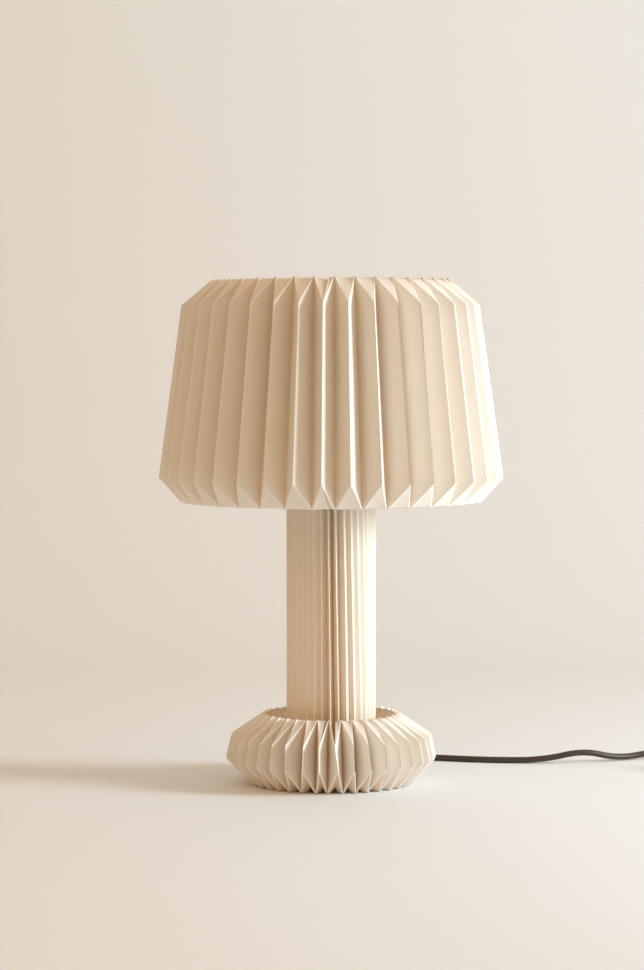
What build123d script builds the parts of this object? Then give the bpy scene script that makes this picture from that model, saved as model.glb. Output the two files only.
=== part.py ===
from build123d import *
from math import cos, pi, radians, sin, tan
import os

# A table lamp of folded paper: a pleated shade, a pleated column and a pleated foot round a
# weight, with a lamp holder, a bulb and a mains cord with switch and plug.
# Millimetres, +Z up. The origin is on the lamp's axis, on the surface that it stands on.
# The front is -Y. An azimuth is in degrees, from the front towards +X.

# ---- folded paper -------------------------------------------------------------------------
PLEATS = 38                  # folds round each of the three paper pieces
WALL_STEP = 1.8              # radial thickness of the folded walls of shade and foot
SHADE_TURN = -3.0            # azimuth of one ridge of the shade
COLUMN_TURN = -3.5           # azimuth of one ridge of the column
FOOT_TURN = -6.5             # azimuth of one ridge of the foot

SHADE_HEIGHT = 190.0         # rim to rim
SHADE_RIM_R = 100.0          # upper rim, at the valleys
SHADE_SHOULDER_R = 127.0     # upper end of the ridges
SHADE_SHOULDER_DROP = 23.0   # from the upper rim
SHADE_HEM_R = 147.0          # lower end of the ridges
SHADE_HEM_RISE = 21.0        # from the lower rim
SHADE_HEM_RIM_R = 128.0      # lower rim, at the valleys
SHADE_DISH = 1.6             # how far the middle of a web sinks in at a rim

FOOT_HEIGHT = 61.0
FOOT_RIM_R = 57.0            # upper rim, at the valleys
FOOT_SHOULDER_R = 86.0
FOOT_SHOULDER_DROP = 20.0
FOOT_HEM_R = 90.0
FOOT_HEM_RISE = 22.0
FOOT_SOLE_R = 69.0           # lower rim, at the valleys
FOOT_DISH = 1.2

COLUMN_HEIGHT = 245.0
COLUMN_RIDGE_R = 38.0
COLUMN_VALLEY_R = 31.5
COLUMN_STEP = 1.4            # radial thickness of the column's folded wall

# ---- foot and column inside ---------------------------------------------------------------
FELT_T = 3.0
WEIGHT_T = 8.0
WEIGHT_EDGE = 1.0
NOTCH_WIDTH = 17.0           # cord notch in weight and felt
NOTCH_DEPTH = 27.0
WOOD_T = 9.0                 # wooden discs in the ends of the core
CORE_WALL = 2.0
CAP_T = 1.5                  # paperboard cap of the column
GLUE_GAP = 0.3               # between pieces that are glued on a curve
SCREW_COUNT = 3
SCREW_CIRCLE_R = 20.0
SCREW_R = 1.9
SCREW_HEAD_R = 3.8
SCREW_LENGTH = 15.0
SCREW_CLEARANCE = 0.1

# ---- nipple, nuts, carrier ----------------------------------------------------------------
NIPPLE_R = 5.0
NIPPLE_BORE_R = 3.6
NIPPLE_CLEARANCE = 0.1
NIPPLE_CHAMFER = 0.5
HUB_CLEARANCE = 0.05         # running fit of the hub on the nipple
NUT_FLATS = 14.0
NUT_H = 5.0
NUT_GAP = 0.2
NIPPLE_BELOW_NUT = 3.0
NIPPLE_INSET = 1.0           # below the boss of the lamp holder
WASHER_R = 11.0
WASHER_T = 1.0
HUB_R = 10.0
HUB_H = 3.5
ARM_COUNT = 3
ARM_TURN = 30.0              # azimuth of the first arm
ARM_R = 1.6                  # wire of the arms
ARM_ROOT_R = 8.0
ARM_FALL = 20.35             # from hub to seat
ARM_STEP = 9.0               # the last part of the fall, just inside the ring
ARM_BEND_R = 3.0
ARM_SEAT_SLACK = 0.8         # between ring and arm, sideways
ARM_END = 0.4                # beyond the middle of the ring's wire
RING_WIRE_R = 1.5
RING_ABOVE_RIM = 8.5         # lower ring above the lower rim
TOP_RING_BELOW_RIM = 6.0
REST_GAP = 0.3               # between pieces of bodies that rest on each other

# ---- lamp holder --------------------------------------------------------------------------
HOLDER_R = 20.0
HOLDER_WALL = 2.0
COVER_H = 20.0
COVER_NECK_R = 12.0
COVER_CONE_H = 9.0
BOSS_WALL = 3.0
SLEEVE_H = 36.0
CORE_T = 11.0
CORE_RISE = 1.5              # of the core above the cover
BULB_THREAD_R = 13.1
SOCKET_CLEARANCE = 0.4
CONTACT_T = 0.6
CONTACT_RISE = 2.6
CONTACT_WIDTH = 4.0
CONTACT_REACH = 8.0          # from the axis to the end of the centre contact
SIDE_CONTACT_R = 12.2
SIDE_CONTACT_FOOT = 3.0
LEAD_START = 1.5             # end of the cord's jacket above the nipple
WIRE_R = 0.9                 # insulated lead
TERMINAL_R = 10.5            # radius of the terminal screws' places
TERMINAL_SCREW_R = 1.5
TERMINAL_HEAD_R = 2.8
TERMINAL_HEAD_H = 2.0
TERMINAL_COVER_T = 3.0       # ceramic over the screws

# ---- bulb ---------------------------------------------------------------------------------
THREAD_PITCH = 3.6
THREAD_TURNS = 4
THREAD_DEPTH = 0.7
BUTTON_R = 4.5
BUTTON_H = 1.2
INSULATOR_H = 4.8
SHELL_H = 19.0
GLASS_R = 22.5
GLASS_NECK_R = 12.2
GLASS_NECK_H = 14.0          # from the shell's top to where the globe starts
GLASS_T = 0.8
GLOBE_START = 48.0           # degrees below the globe's middle where the flare meets it
STEM_R = 2.4
STEM_FLARE_H = 7.0
FILAMENT_COUNT = 4
FILAMENT_R = 0.9
FILAMENT_LENGTH = 24.0
FILAMENT_CIRCLE_R = 7.0

# ---- cord ---------------------------------------------------------------------------------
CORD_R = 2.75
CORD_BEND_SHARE = 0.45       # of the shorter run, for the arc at a corner
BUSH_VALLEY = 17             # the foot's valley that the cord leaves by, counted from the turn
BUSH_HEIGHT = 8.0
INNER_TURN = 15.0            # the cord turns up this far inside the bush
INNER_HOLE_RISE = 15.0       # of the cord's way through the core, above the weight
INNER_HOLE_INSET = 1.5       # of that place from the core's inner wall
INNER_BEND_RISE = 34.0       # above the weight, where the cord nears the axis
INNER_BEND_R = 6.0
INNER_AXIS_RISE = 70.0       # above the weight, from where it runs on the axis
BUSH_NECK_R = 5.0
BUSH_INNER_FLANGE_R = 7.0
BUSH_FLANGE_R = 6.0
BUSH_FLANGE_T = 2.0
BUSH_TAIL = 27.0
BUSH_TIP_R = 3.7
BUSH_CLEARANCE = 0.2
BORE_CLEARANCE = 0.1         # round the cord where it is held
CORD_HOLE_R = 3.9            # through column skin and core
COIL_CENTRE = (430.0, 105.0)
COIL_OUTER_R = 41.0          # radius of the first half turn
COIL_LOW_HALF_TURNS = 6      # lower layer, spiralling in
COIL_HIGH_HALF_TURNS = 4     # upper layer, spiralling out
COIL_PITCH = 6.0             # from a turn to the next
COIL_LIFT = 6.0              # from a layer to the next
TIE_T = 1.0
TIE_WIDTH = 6.0
TIE_GAP = 0.4

# ---- switch and plug ----------------------------------------------------------------------
SWITCH_CENTRE = (343.0, 146.0)
SWITCH_LENGTH = 62.0
SWITCH_WIDTH = 25.0
SWITCH_HALF_H = 8.0
SWITCH_WALL = 2.0
SWITCH_END = 8.0             # solid end with the cord's channel
SWITCH_EDGE = 2.0
SWITCH_SCREW_PLACE = (25.0, 6.8)
SWITCH_SCREW_R = 1.2
SWITCH_SCREW_HEAD_R = 2.3
SWITCH_SCREW_HEAD_H = 1.2
SWITCH_SCREW_SINK = 0.8
SWITCH_SCREW_LENGTH = 12.0
SWITCH_CONTACT_X = 13.0
SWITCH_CONTACT_SIZE = (7.0, 9.0, 4.0)
SWITCH_CONTACT_T = 0.8
ROCKER_LENGTH = 17.4
ROCKER_WIDTH = 9.6
ROCKER_TILT = 7.0            # each side of level
ROCKER_PIVOT_H = 12.4
ROCKER_KEEL = 3.0            # below the pivot
ROCKER_CROWN = 4.6           # above the pivot, at the ends
ROCKER_DIP = 1.0             # the middle is that much lower
ROCKER_RIB_T = 1.6
ROCKER_RIB_LENGTH = 8.0
ROCKER_PIN_R = 1.5
ROCKER_SLACK = 0.8
ROCKER_SIDE_GAP = 0.4
PIN_CLEARANCE = 0.05
PLUG_TAIL = (366.0, 68.0)    # where the cord enters the plug
PLUG_AXIS_H = 7.2
PLUG_TAIL_LENGTH = 22.0
PLUG_BODY_LENGTH = 33.0
PLUG_WIDTH = 35.0
PLUG_THICKNESS = 13.6
PLUG_PIN_R = 2.0
PLUG_PIN_LENGTH = 19.0
PLUG_PIN_SPACING = 18.6
PLUG_EDGE = 3.0
PLUG_NOSE = 12.0             # from the tail to the full width
PLUG_TAIL_END_R = 5.6
PLUG_CORD_DEPTH = 9.0        # the cord reaches this far into the tail

# ---- sizes worked out ---------------------------------------------------------------------
PITCH = 360.0 / PLEATS
WEIGHT_TOP = FELT_T + WEIGHT_T
COLUMN_TOP = WEIGHT_TOP + COLUMN_HEIGHT
CAP_TOP = COLUMN_TOP + CAP_T
UPPER_NUT_Z = CAP_TOP + WASHER_T
LOWER_WASHER_Z = COLUMN_TOP - WOOD_T - WASHER_T
LOWER_NUT_Z = LOWER_WASHER_Z - NUT_H
HUB_Z = UPPER_NUT_Z + NUT_H + NUT_GAP
HOLDER_Z = HUB_Z + HUB_H + NUT_GAP
NIPPLE_Z = LOWER_NUT_Z - NIPPLE_BELOW_NUT
NIPPLE_TOP = HOLDER_Z + COVER_CONE_H - NIPPLE_INSET
CORE_OUTER_R = COLUMN_VALLEY_R - COLUMN_STEP - GLUE_GAP
CORE_INNER_R = CORE_OUTER_R - CORE_WALL
DISC_R = CORE_INNER_R - GLUE_GAP

ARM_SEAT_Z = HUB_Z + HUB_H / 2 - ARM_FALL
RING_Z = ARM_SEAT_Z + ARM_R + REST_GAP + RING_WIRE_R
SHADE_FOOT_Z = RING_Z - RING_ABOVE_RIM
SHADE_TOP_Z = SHADE_FOOT_Z + SHADE_HEIGHT

BUSH_AZIMUTH = FOOT_TURN + (BUSH_VALLEY + 0.5) * PITCH
CORE_BLOCK_Z = HOLDER_Z + COVER_H + CORE_RISE
CORE_BLOCK_TOP = CORE_BLOCK_Z + CORE_T
BULB_Z = CORE_BLOCK_TOP + CONTACT_RISE + CONTACT_T + REST_GAP


def around(radius, azimuth, height=0.0):
    """The point at a radius, an azimuth and a height."""
    angle = radians(azimuth)
    return (radius * sin(angle), -radius * cos(angle), height)


def radial_plane(azimuth):
    """An upright plane through the axis: its x runs outwards and its y runs up."""
    return Plane(origin=(0, 0, 0), x_dir=around(1, azimuth), z_dir=around(1, azimuth - 90))


def line_radius(low, high, height):
    """Radius at a height of a straight fold from low to high, both (radius, height)."""
    share = (height - low[1]) / (high[1] - low[1])
    return low[0] + share * (high[0] - low[0])


SHADE_CORNERS = {
    "rim": (SHADE_RIM_R, SHADE_TOP_Z),
    "shoulder": (SHADE_SHOULDER_R, SHADE_TOP_Z - SHADE_SHOULDER_DROP),
    "hem": (SHADE_HEM_R, SHADE_FOOT_Z + SHADE_HEM_RISE),
    "sole": (SHADE_HEM_RIM_R, SHADE_FOOT_Z),
}
FOOT_CORNERS = {
    "rim": (FOOT_RIM_R, FOOT_HEIGHT),
    "shoulder": (FOOT_SHOULDER_R, FOOT_HEIGHT - FOOT_SHOULDER_DROP),
    "hem": (FOOT_HEM_R, FOOT_HEM_RISE),
    "sole": (FOOT_SOLE_R, 0.0),
}


def valley_radius(corners, height):
    """Outer radius of a folded wall's valleys at a height."""
    return line_radius(corners["sole"], corners["rim"], height)


def half_pleat(corners, azimuth, side, dish, step):
    """The corner points of half a pleat on one face of the paper, step inside the outer one."""
    valley = azimuth + side * PITCH / 2
    (rim_r, rim_z), (sole_r, sole_z) = corners["rim"], corners["sole"]
    (shoulder_r, shoulder_z), (hem_r, hem_z) = corners["shoulder"], corners["hem"]
    flat = cos(radians(PITCH / 2))
    return {
        "web_top": around(rim_r * flat - dish - step, azimuth, rim_z),
        "shoulder": around(shoulder_r - step, azimuth, shoulder_z),
        "hem": around(hem_r - step, azimuth, hem_z),
        "web_low": around(sole_r * flat - dish - step, azimuth, sole_z),
        "valley_top": around(rim_r - step, valley, rim_z),
        "valley_low": around(sole_r - step, valley, sole_z),
    }


PANELS = [
    ("web_top", "shoulder", "valley_top"),
    ("valley_top", "shoulder", "valley_low"),
    ("shoulder", "hem", "valley_low"),
    ("web_low", "valley_low", "hem"),
]
RIMS = [("web_top", "valley_top"), ("web_low", "valley_low")]


def flat_face(points):
    """A flat face with these corners."""
    return Face(Wire.make_polygon(points, close=True))


def folded_wall(corners, turn, dish):
    """Closed solid of a folded ring: ridges from shoulder to hem, valleys from rim to sole,
    and a triangular web from the end of each ridge to the rim."""
    faces = []
    for pleat in range(PLEATS):
        azimuth = turn + pleat * PITCH
        for side in (-1, 1):
            outer = half_pleat(corners, azimuth, side, dish, 0.0)
            inner = half_pleat(corners, azimuth, side, dish, WALL_STEP)
            for panel in PANELS:
                faces.append(flat_face([outer[name] for name in panel]))
                faces.append(flat_face([inner[name] for name in panel]))
            for web, valley in RIMS:
                faces.append(flat_face([outer[web], outer[valley], inner[valley], inner[web]]))
    return Solid(Shell(faces))


def star(ridge_r, valley_r, turn):
    """Corners of a star of PLEATS ridges and valleys, in the XY plane."""
    corners = []
    for pleat in range(PLEATS):
        azimuth = turn + pleat * PITCH
        corners.append(around(ridge_r, azimuth))
        corners.append(around(valley_r, azimuth + PITCH / 2))
    return corners


def bend_radii(points):
    """A radius for each inner corner: a share of its shorter run over the tangent of half
    its turn."""
    radii = []
    for before, corner, after in zip(points, points[1:], points[2:]):
        run_in = Vector(*corner) - Vector(*before)
        run_out = Vector(*after) - Vector(*corner)
        half_turn = radians(run_in.get_angle(run_out) / 2)
        radii.append(CORD_BEND_SHARE * min(run_in.length, run_out.length) / tan(half_turn))
    return radii


def report_tube(name, points, radius, part, length):
    """Print a tube's length, its tightest bend and its volume against section times length."""
    share = part.volume / (pi * radius**2 * length)
    print(f"{name}: {length:.0f} mm, tightest bend {min(bend_radii(points)):.1f} mm, volume {share:.4f}")


def keep(builder, name):
    """Label a finished piece and write it."""
    builder.part.label = name
    export_step(builder.part, f"parts/{name}.step")


os.makedirs("parts", exist_ok=True)

# ---- foot ---------------------------------------------------------------------------------
MIN_Z = (Align.CENTER, Align.CENTER, Align.MIN)
FLAT = cos(radians(PITCH / 2))
WEIGHT_R = (valley_radius(FOOT_CORNERS, WEIGHT_TOP) - WALL_STEP - FOOT_DISH) * FLAT - GLUE_GAP
FELT_R = WEIGHT_R - WEIGHT_EDGE
NOTCH_MID_R = WEIGHT_R - NOTCH_DEPTH / 2 + WEIGHT_EDGE
BUSH_POLAR = BUSH_AZIMUTH - 90.0
BUSH_IN_X = valley_radius(FOOT_CORNERS, BUSH_HEIGHT + BUSH_INNER_FLANGE_R) - WALL_STEP - GLUE_GAP
BUSH_REST_Z = BUSH_HEIGHT + BUSH_FLANGE_R * cos(radians(45))   # where the flange meets the creases
BUSH_OUT_X = line_radius(FOOT_CORNERS["sole"], FOOT_CORNERS["hem"], BUSH_REST_Z) + GLUE_GAP
BUSH_TIP_X = BUSH_OUT_X + BUSH_FLANGE_T + BUSH_TAIL

with BuildPart() as felt_pad:
    with BuildSketch():
        Circle(FELT_R)
        with PolarLocations(NOTCH_MID_R, 1, start_angle=BUSH_POLAR):
            Rectangle(NOTCH_DEPTH, NOTCH_WIDTH, mode=Mode.SUBTRACT)
    extrude(amount=FELT_T)
keep(felt_pad, "felt_pad")

with BuildPart(Plane.XY.offset(FELT_T)) as base_screws:
    with PolarLocations(SCREW_CIRCLE_R, SCREW_COUNT):
        Cone(SCREW_HEAD_R, SCREW_R, SCREW_HEAD_R - SCREW_R, align=MIN_Z)
        Cylinder(SCREW_R, SCREW_LENGTH, align=MIN_Z)
keep(base_screws, "base_screws")

with BuildPart() as base_weight:
    with BuildSketch(Plane.XY.offset(FELT_T)):
        Circle(WEIGHT_R)
        with PolarLocations(NOTCH_MID_R, 1, start_angle=BUSH_POLAR):
            Rectangle(NOTCH_DEPTH, NOTCH_WIDTH, mode=Mode.SUBTRACT)
    extrude(amount=WEIGHT_T)
    fillet(base_weight.edges().filter_by(GeomType.CIRCLE).group_by(Axis.Z)[-1], WEIGHT_EDGE)
    with Locations((0, 0, FELT_T)):
        with PolarLocations(SCREW_CIRCLE_R, SCREW_COUNT):
            Cone(
                SCREW_HEAD_R + SCREW_CLEARANCE,
                SCREW_R + SCREW_CLEARANCE,
                SCREW_HEAD_R - SCREW_R,
                align=MIN_Z,
                mode=Mode.SUBTRACT,
            )
            Cylinder(SCREW_R + SCREW_CLEARANCE, WEIGHT_T, align=MIN_Z, mode=Mode.SUBTRACT)
keep(base_weight, "base_weight")

with BuildPart() as foot_skin:
    add(folded_wall(FOOT_CORNERS, FOOT_TURN, FOOT_DISH))
    with BuildSketch(Plane(origin=around(0, 0, BUSH_HEIGHT), z_dir=around(1, BUSH_AZIMUTH))):
        Circle(BUSH_NECK_R + BUSH_CLEARANCE)
    extrude(amount=FOOT_HEM_R, mode=Mode.SUBTRACT)
keep(foot_skin, "foot_skin")

# ---- column -------------------------------------------------------------------------------
INNER_ROUTE = [
    (BUSH_TIP_X, BUSH_HEIGHT),
    (BUSH_IN_X - INNER_TURN, BUSH_HEIGHT),
    (CORE_INNER_R - INNER_HOLE_INSET, WEIGHT_TOP + INNER_HOLE_RISE),
    (INNER_BEND_R, WEIGHT_TOP + INNER_BEND_RISE),
    (0.0, WEIGHT_TOP + INNER_AXIS_RISE),
    (0.0, NIPPLE_TOP + LEAD_START),
]
hole_low, hole_high = INNER_ROUTE[1], INNER_ROUTE[2]
hole_plane = Plane(
    origin=around(hole_high[0], BUSH_AZIMUTH, hole_high[1]),
    z_dir=Vector(*around(hole_low[0] - hole_high[0], BUSH_AZIMUTH, hole_low[1] - hole_high[1])),
)


def cut_cord_hole():
    """Cut the way of the inner cord through the wall that is being made."""
    with BuildSketch(hole_plane) as hole:
        Circle(CORD_HOLE_R)
    extrude(hole.sketch, amount=CORE_OUTER_R, both=True, mode=Mode.SUBTRACT)


with BuildPart() as column_skin:
    with BuildSketch(Plane.XY.offset(WEIGHT_TOP)):
        with BuildLine():
            Polyline(*star(COLUMN_RIDGE_R, COLUMN_VALLEY_R, COLUMN_TURN), close=True)
        make_face()
        with BuildLine():
            inner = (COLUMN_RIDGE_R - COLUMN_STEP, COLUMN_VALLEY_R - COLUMN_STEP)
            Polyline(*star(*inner, COLUMN_TURN), close=True)
        make_face(mode=Mode.SUBTRACT)
    extrude(amount=COLUMN_HEIGHT)
    cut_cord_hole()
keep(column_skin, "column_skin")

with BuildPart() as column_core:
    with BuildSketch(Plane.XY.offset(WEIGHT_TOP)):
        Circle(CORE_OUTER_R)
        Circle(CORE_INNER_R, mode=Mode.SUBTRACT)
    extrude(amount=COLUMN_HEIGHT)
    cut_cord_hole()
keep(column_core, "column_core")

with BuildPart(Plane.XY.offset(WEIGHT_TOP)) as foot_disc:
    Cylinder(DISC_R, WOOD_T, align=MIN_Z)
    with PolarLocations(SCREW_CIRCLE_R, SCREW_COUNT):
        Cylinder(SCREW_R + SCREW_CLEARANCE, WOOD_T, align=MIN_Z, mode=Mode.SUBTRACT)
keep(foot_disc, "foot_disc")

with BuildPart(Plane.XY.offset(COLUMN_TOP - WOOD_T)) as head_disc:
    Cylinder(DISC_R, WOOD_T, align=MIN_Z)
    Cylinder(NIPPLE_R + NIPPLE_CLEARANCE, WOOD_T, align=MIN_Z, mode=Mode.SUBTRACT)
keep(head_disc, "head_disc")

with BuildPart(Plane.XY.offset(COLUMN_TOP)) as column_cap:
    Cylinder(COLUMN_RIDGE_R, CAP_T, align=MIN_Z)
    Cylinder(NIPPLE_R + NIPPLE_CLEARANCE, CAP_T, align=MIN_Z, mode=Mode.SUBTRACT)
keep(column_cap, "column_cap")

# ---- nipple, nuts, washers, carrier -------------------------------------------------------
with BuildPart(Plane.XY.offset(NIPPLE_Z)) as threaded_nipple:
    Cylinder(NIPPLE_R, NIPPLE_TOP - NIPPLE_Z, align=MIN_Z)
    Cylinder(NIPPLE_BORE_R, NIPPLE_TOP - NIPPLE_Z, align=MIN_Z, mode=Mode.SUBTRACT)
    chamfer(threaded_nipple.edges().filter_by(GeomType.CIRCLE), NIPPLE_CHAMFER)
keep(threaded_nipple, "threaded_nipple")

with BuildPart() as lock_nuts:
    for nut_z in (LOWER_NUT_Z, UPPER_NUT_Z):
        with BuildSketch(Plane.XY.offset(nut_z)):
            RegularPolygon(NUT_FLATS / 2, 6, major_radius=False)
            Circle(NIPPLE_R + NIPPLE_CLEARANCE, mode=Mode.SUBTRACT)
        extrude(amount=NUT_H)
keep(lock_nuts, "lock_nuts")

with BuildPart() as nut_washers:
    for washer_z in (LOWER_WASHER_Z, CAP_TOP):
        with BuildSketch(Plane.XY.offset(washer_z)):
            Circle(WASHER_R)
            Circle(NIPPLE_R + NIPPLE_CLEARANCE, mode=Mode.SUBTRACT)
        extrude(amount=WASHER_T)
keep(nut_washers, "nut_washers")

RING_R = valley_radius(SHADE_CORNERS, RING_Z) - WALL_STEP - GLUE_GAP - RING_WIRE_R
ARM_STEP_R = RING_R - RING_WIRE_R - ARM_R - REST_GAP - ARM_SEAT_SLACK
ARM_ROUTE = [
    (ARM_ROOT_R, HUB_Z + HUB_H / 2),
    (ARM_STEP_R - ARM_STEP, ARM_SEAT_Z + ARM_STEP),
    (ARM_STEP_R, ARM_SEAT_Z),
    (RING_R + ARM_END, ARM_SEAT_Z),
]

with BuildPart() as shade_carrier:
    for arm in range(ARM_COUNT):
        with BuildLine(radial_plane(ARM_TURN + arm * 360 / ARM_COUNT)) as arm_line:
            FilletPolyline(*ARM_ROUTE, radius=ARM_BEND_R)
        with BuildSketch(Plane(origin=arm_line.line @ 0, z_dir=arm_line.line % 0)):
            Circle(ARM_R)
        sweep(path=arm_line.line)
    with BuildSketch(Plane.XY.offset(HUB_Z)):
        Circle(HUB_R)
    extrude(amount=HUB_H)
    with BuildSketch(Plane.XY.offset(HUB_Z)):
        Circle(NIPPLE_R + HUB_CLEARANCE)
    extrude(amount=HUB_H, mode=Mode.SUBTRACT)
keep(shade_carrier, "shade_carrier")

# ---- shade --------------------------------------------------------------------------------
with BuildPart() as shade_skin:
    add(folded_wall(SHADE_CORNERS, SHADE_TURN, SHADE_DISH))
keep(shade_skin, "shade_skin")

TOP_RING_Z = SHADE_TOP_Z - TOP_RING_BELOW_RIM
TOP_RING_R = valley_radius(SHADE_CORNERS, TOP_RING_Z) - WALL_STEP - GLUE_GAP - RING_WIRE_R

with BuildPart(Plane.XY.offset(RING_Z)) as shade_low_ring:
    Torus(RING_R, RING_WIRE_R)
keep(shade_low_ring, "shade_low_ring")

with BuildPart(Plane.XY.offset(TOP_RING_Z)) as shade_top_ring:
    Torus(TOP_RING_R, RING_WIRE_R)
keep(shade_top_ring, "shade_top_ring")

# ---- lamp holder --------------------------------------------------------------------------
COVER_TOP = HOLDER_Z + COVER_H
INNER_R = HOLDER_R - HOLDER_WALL
NIPPLE_HOLE_R = NIPPLE_R + NIPPLE_CLEARANCE
BOSS_R = NIPPLE_HOLE_R + BOSS_WALL

with BuildPart() as holder_cover:
    with BuildSketch(Plane.XZ):
        with BuildLine():
            Polyline(
                (NIPPLE_HOLE_R, HOLDER_Z),
                (COVER_NECK_R, HOLDER_Z),
                (HOLDER_R, HOLDER_Z + COVER_CONE_H),
                (HOLDER_R, COVER_TOP),
                (INNER_R, COVER_TOP),
                (INNER_R, HOLDER_Z + COVER_CONE_H + HOLDER_WALL / 2),
                (COVER_NECK_R - HOLDER_WALL / 2, HOLDER_Z + HOLDER_WALL),
                (BOSS_R, HOLDER_Z + HOLDER_WALL),
                (BOSS_R, HOLDER_Z + COVER_CONE_H),
                (NIPPLE_HOLE_R, HOLDER_Z + COVER_CONE_H),
                close=True,
            )
        make_face()
    revolve(axis=Axis.Z)
keep(holder_cover, "holder_cover")

SOCKET_R = BULB_THREAD_R + SOCKET_CLEARANCE
SLEEVE_TOP = COVER_TOP + SLEEVE_H
SOCKET_LOW = CORE_BLOCK_TOP + GLUE_GAP
SLEEVE_LIP = HOLDER_WALL / 2

with BuildPart() as holder_sleeve:
    with BuildSketch(Plane.XZ):
        with BuildLine():
            Polyline(
                (INNER_R, COVER_TOP),
                (HOLDER_R, COVER_TOP),
                (HOLDER_R, SLEEVE_TOP - SLEEVE_LIP),
                (HOLDER_R - SLEEVE_LIP, SLEEVE_TOP),
                (SOCKET_R + SLEEVE_LIP, SLEEVE_TOP),
                (SOCKET_R, SLEEVE_TOP - SLEEVE_LIP),
                (SOCKET_R, SOCKET_LOW),
                (INNER_R, SOCKET_LOW),
                close=True,
            )
        make_face()
    revolve(axis=Axis.Z)
keep(holder_sleeve, "holder_sleeve")

SCREW_HOLE_R = TERMINAL_SCREW_R + SCREW_CLEARANCE

with BuildPart(Plane.XY.offset(CORE_BLOCK_Z)) as holder_core:
    Cylinder(INNER_R - GLUE_GAP, CORE_T, align=MIN_Z)
    with PolarLocations(TERMINAL_R, 2):
        Cylinder(SCREW_HOLE_R, CORE_T - TERMINAL_COVER_T, align=MIN_Z, mode=Mode.SUBTRACT)
keep(holder_core, "holder_core")

with BuildPart(Plane.XY.offset(CORE_BLOCK_Z)) as terminal_screws:
    with PolarLocations(TERMINAL_R, 2):
        Cylinder(TERMINAL_SCREW_R, CORE_T - TERMINAL_COVER_T - GLUE_GAP, align=MIN_Z)
        Cylinder(TERMINAL_HEAD_R, TERMINAL_HEAD_H, align=(Align.CENTER, Align.CENTER, Align.MAX))
keep(terminal_screws, "terminal_screws")

with BuildPart() as centre_contact:
    with BuildSketch(Plane.XZ):
        with BuildLine() as tongue:
            Polyline(
                (-CONTACT_REACH, CORE_BLOCK_TOP),
                (-CONTACT_REACH + CONTACT_RISE, CORE_BLOCK_TOP),
                (-BUTTON_R / 2, CORE_BLOCK_TOP + CONTACT_RISE),
                (BUTTON_R / 2, CORE_BLOCK_TOP + CONTACT_RISE),
                (BUTTON_R / 2, CORE_BLOCK_TOP + CONTACT_RISE + CONTACT_T),
                (-BUTTON_R / 2 - CONTACT_T / 2, CORE_BLOCK_TOP + CONTACT_RISE + CONTACT_T),
                (-CONTACT_REACH + CONTACT_RISE - CONTACT_T / 2, CORE_BLOCK_TOP + CONTACT_T),
                (-CONTACT_REACH, CORE_BLOCK_TOP + CONTACT_T),
                close=True,
            )
        make_face()
    extrude(amount=CONTACT_WIDTH / 2, both=True)
keep(centre_contact, "centre_contact")

SHELL_Z = BULB_Z + BUTTON_H + INSULATOR_H

with BuildPart() as side_contact:
    with BuildSketch(Plane.XZ):
        with BuildLine():
            Polyline(
                (SIDE_CONTACT_R, CORE_BLOCK_TOP),
                (SIDE_CONTACT_R, SHELL_Z - REST_GAP),
                (SIDE_CONTACT_R - CONTACT_T, SHELL_Z - REST_GAP),
                (SIDE_CONTACT_R - CONTACT_T, CORE_BLOCK_TOP + CONTACT_T),
                (SIDE_CONTACT_R - SIDE_CONTACT_FOOT, CORE_BLOCK_TOP + CONTACT_T),
                (SIDE_CONTACT_R - SIDE_CONTACT_FOOT, CORE_BLOCK_TOP),
                close=True,
            )
        make_face()
    extrude(amount=CONTACT_WIDTH / 2, both=True)
keep(side_contact, "side_contact")

# ---- bulb ---------------------------------------------------------------------------------
SHELL_TOP = SHELL_Z + SHELL_H
GLOBE_Z = SHELL_TOP + GLASS_NECK_H + GLASS_R * sin(radians(GLOBE_START))
THREAD_Z = SHELL_Z + THREAD_PITCH / 2

with BuildPart() as bulb_contact:
    with Locations((0, 0, BULB_Z)):
        Cylinder(BUTTON_R, BUTTON_H, align=MIN_Z)
    fillet(bulb_contact.edges().group_by(Axis.Z)[0], BUTTON_H / 2)
keep(bulb_contact, "bulb_contact")

with BuildPart(Plane.XY.offset(BULB_Z + BUTTON_H)) as bulb_insulator:
    Cone(BUTTON_R + CONTACT_T, BULB_THREAD_R - 2 * THREAD_DEPTH, INSULATOR_H, align=MIN_Z)
keep(bulb_insulator, "bulb_insulator")

with BuildPart() as bulb_cap:
    thread = [(0, SHELL_Z), (BULB_THREAD_R - THREAD_DEPTH, SHELL_Z)]
    for turn in range(THREAD_TURNS):
        root_z = THREAD_Z + turn * THREAD_PITCH
        thread.append((BULB_THREAD_R - THREAD_DEPTH, root_z - THREAD_PITCH / 4))
        thread.append((BULB_THREAD_R, root_z))
        thread.append((BULB_THREAD_R, root_z + THREAD_PITCH / 4))
    thread.append((BULB_THREAD_R - THREAD_DEPTH, SHELL_TOP - THREAD_DEPTH))
    thread.append((BULB_THREAD_R, SHELL_TOP))
    thread.append((0, SHELL_TOP))
    with BuildSketch(Plane.XZ):
        with BuildLine():
            Polyline(*thread, close=True)
        make_face()
    revolve(axis=Axis.Z)
keep(bulb_cap, "bulb_cap")


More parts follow.
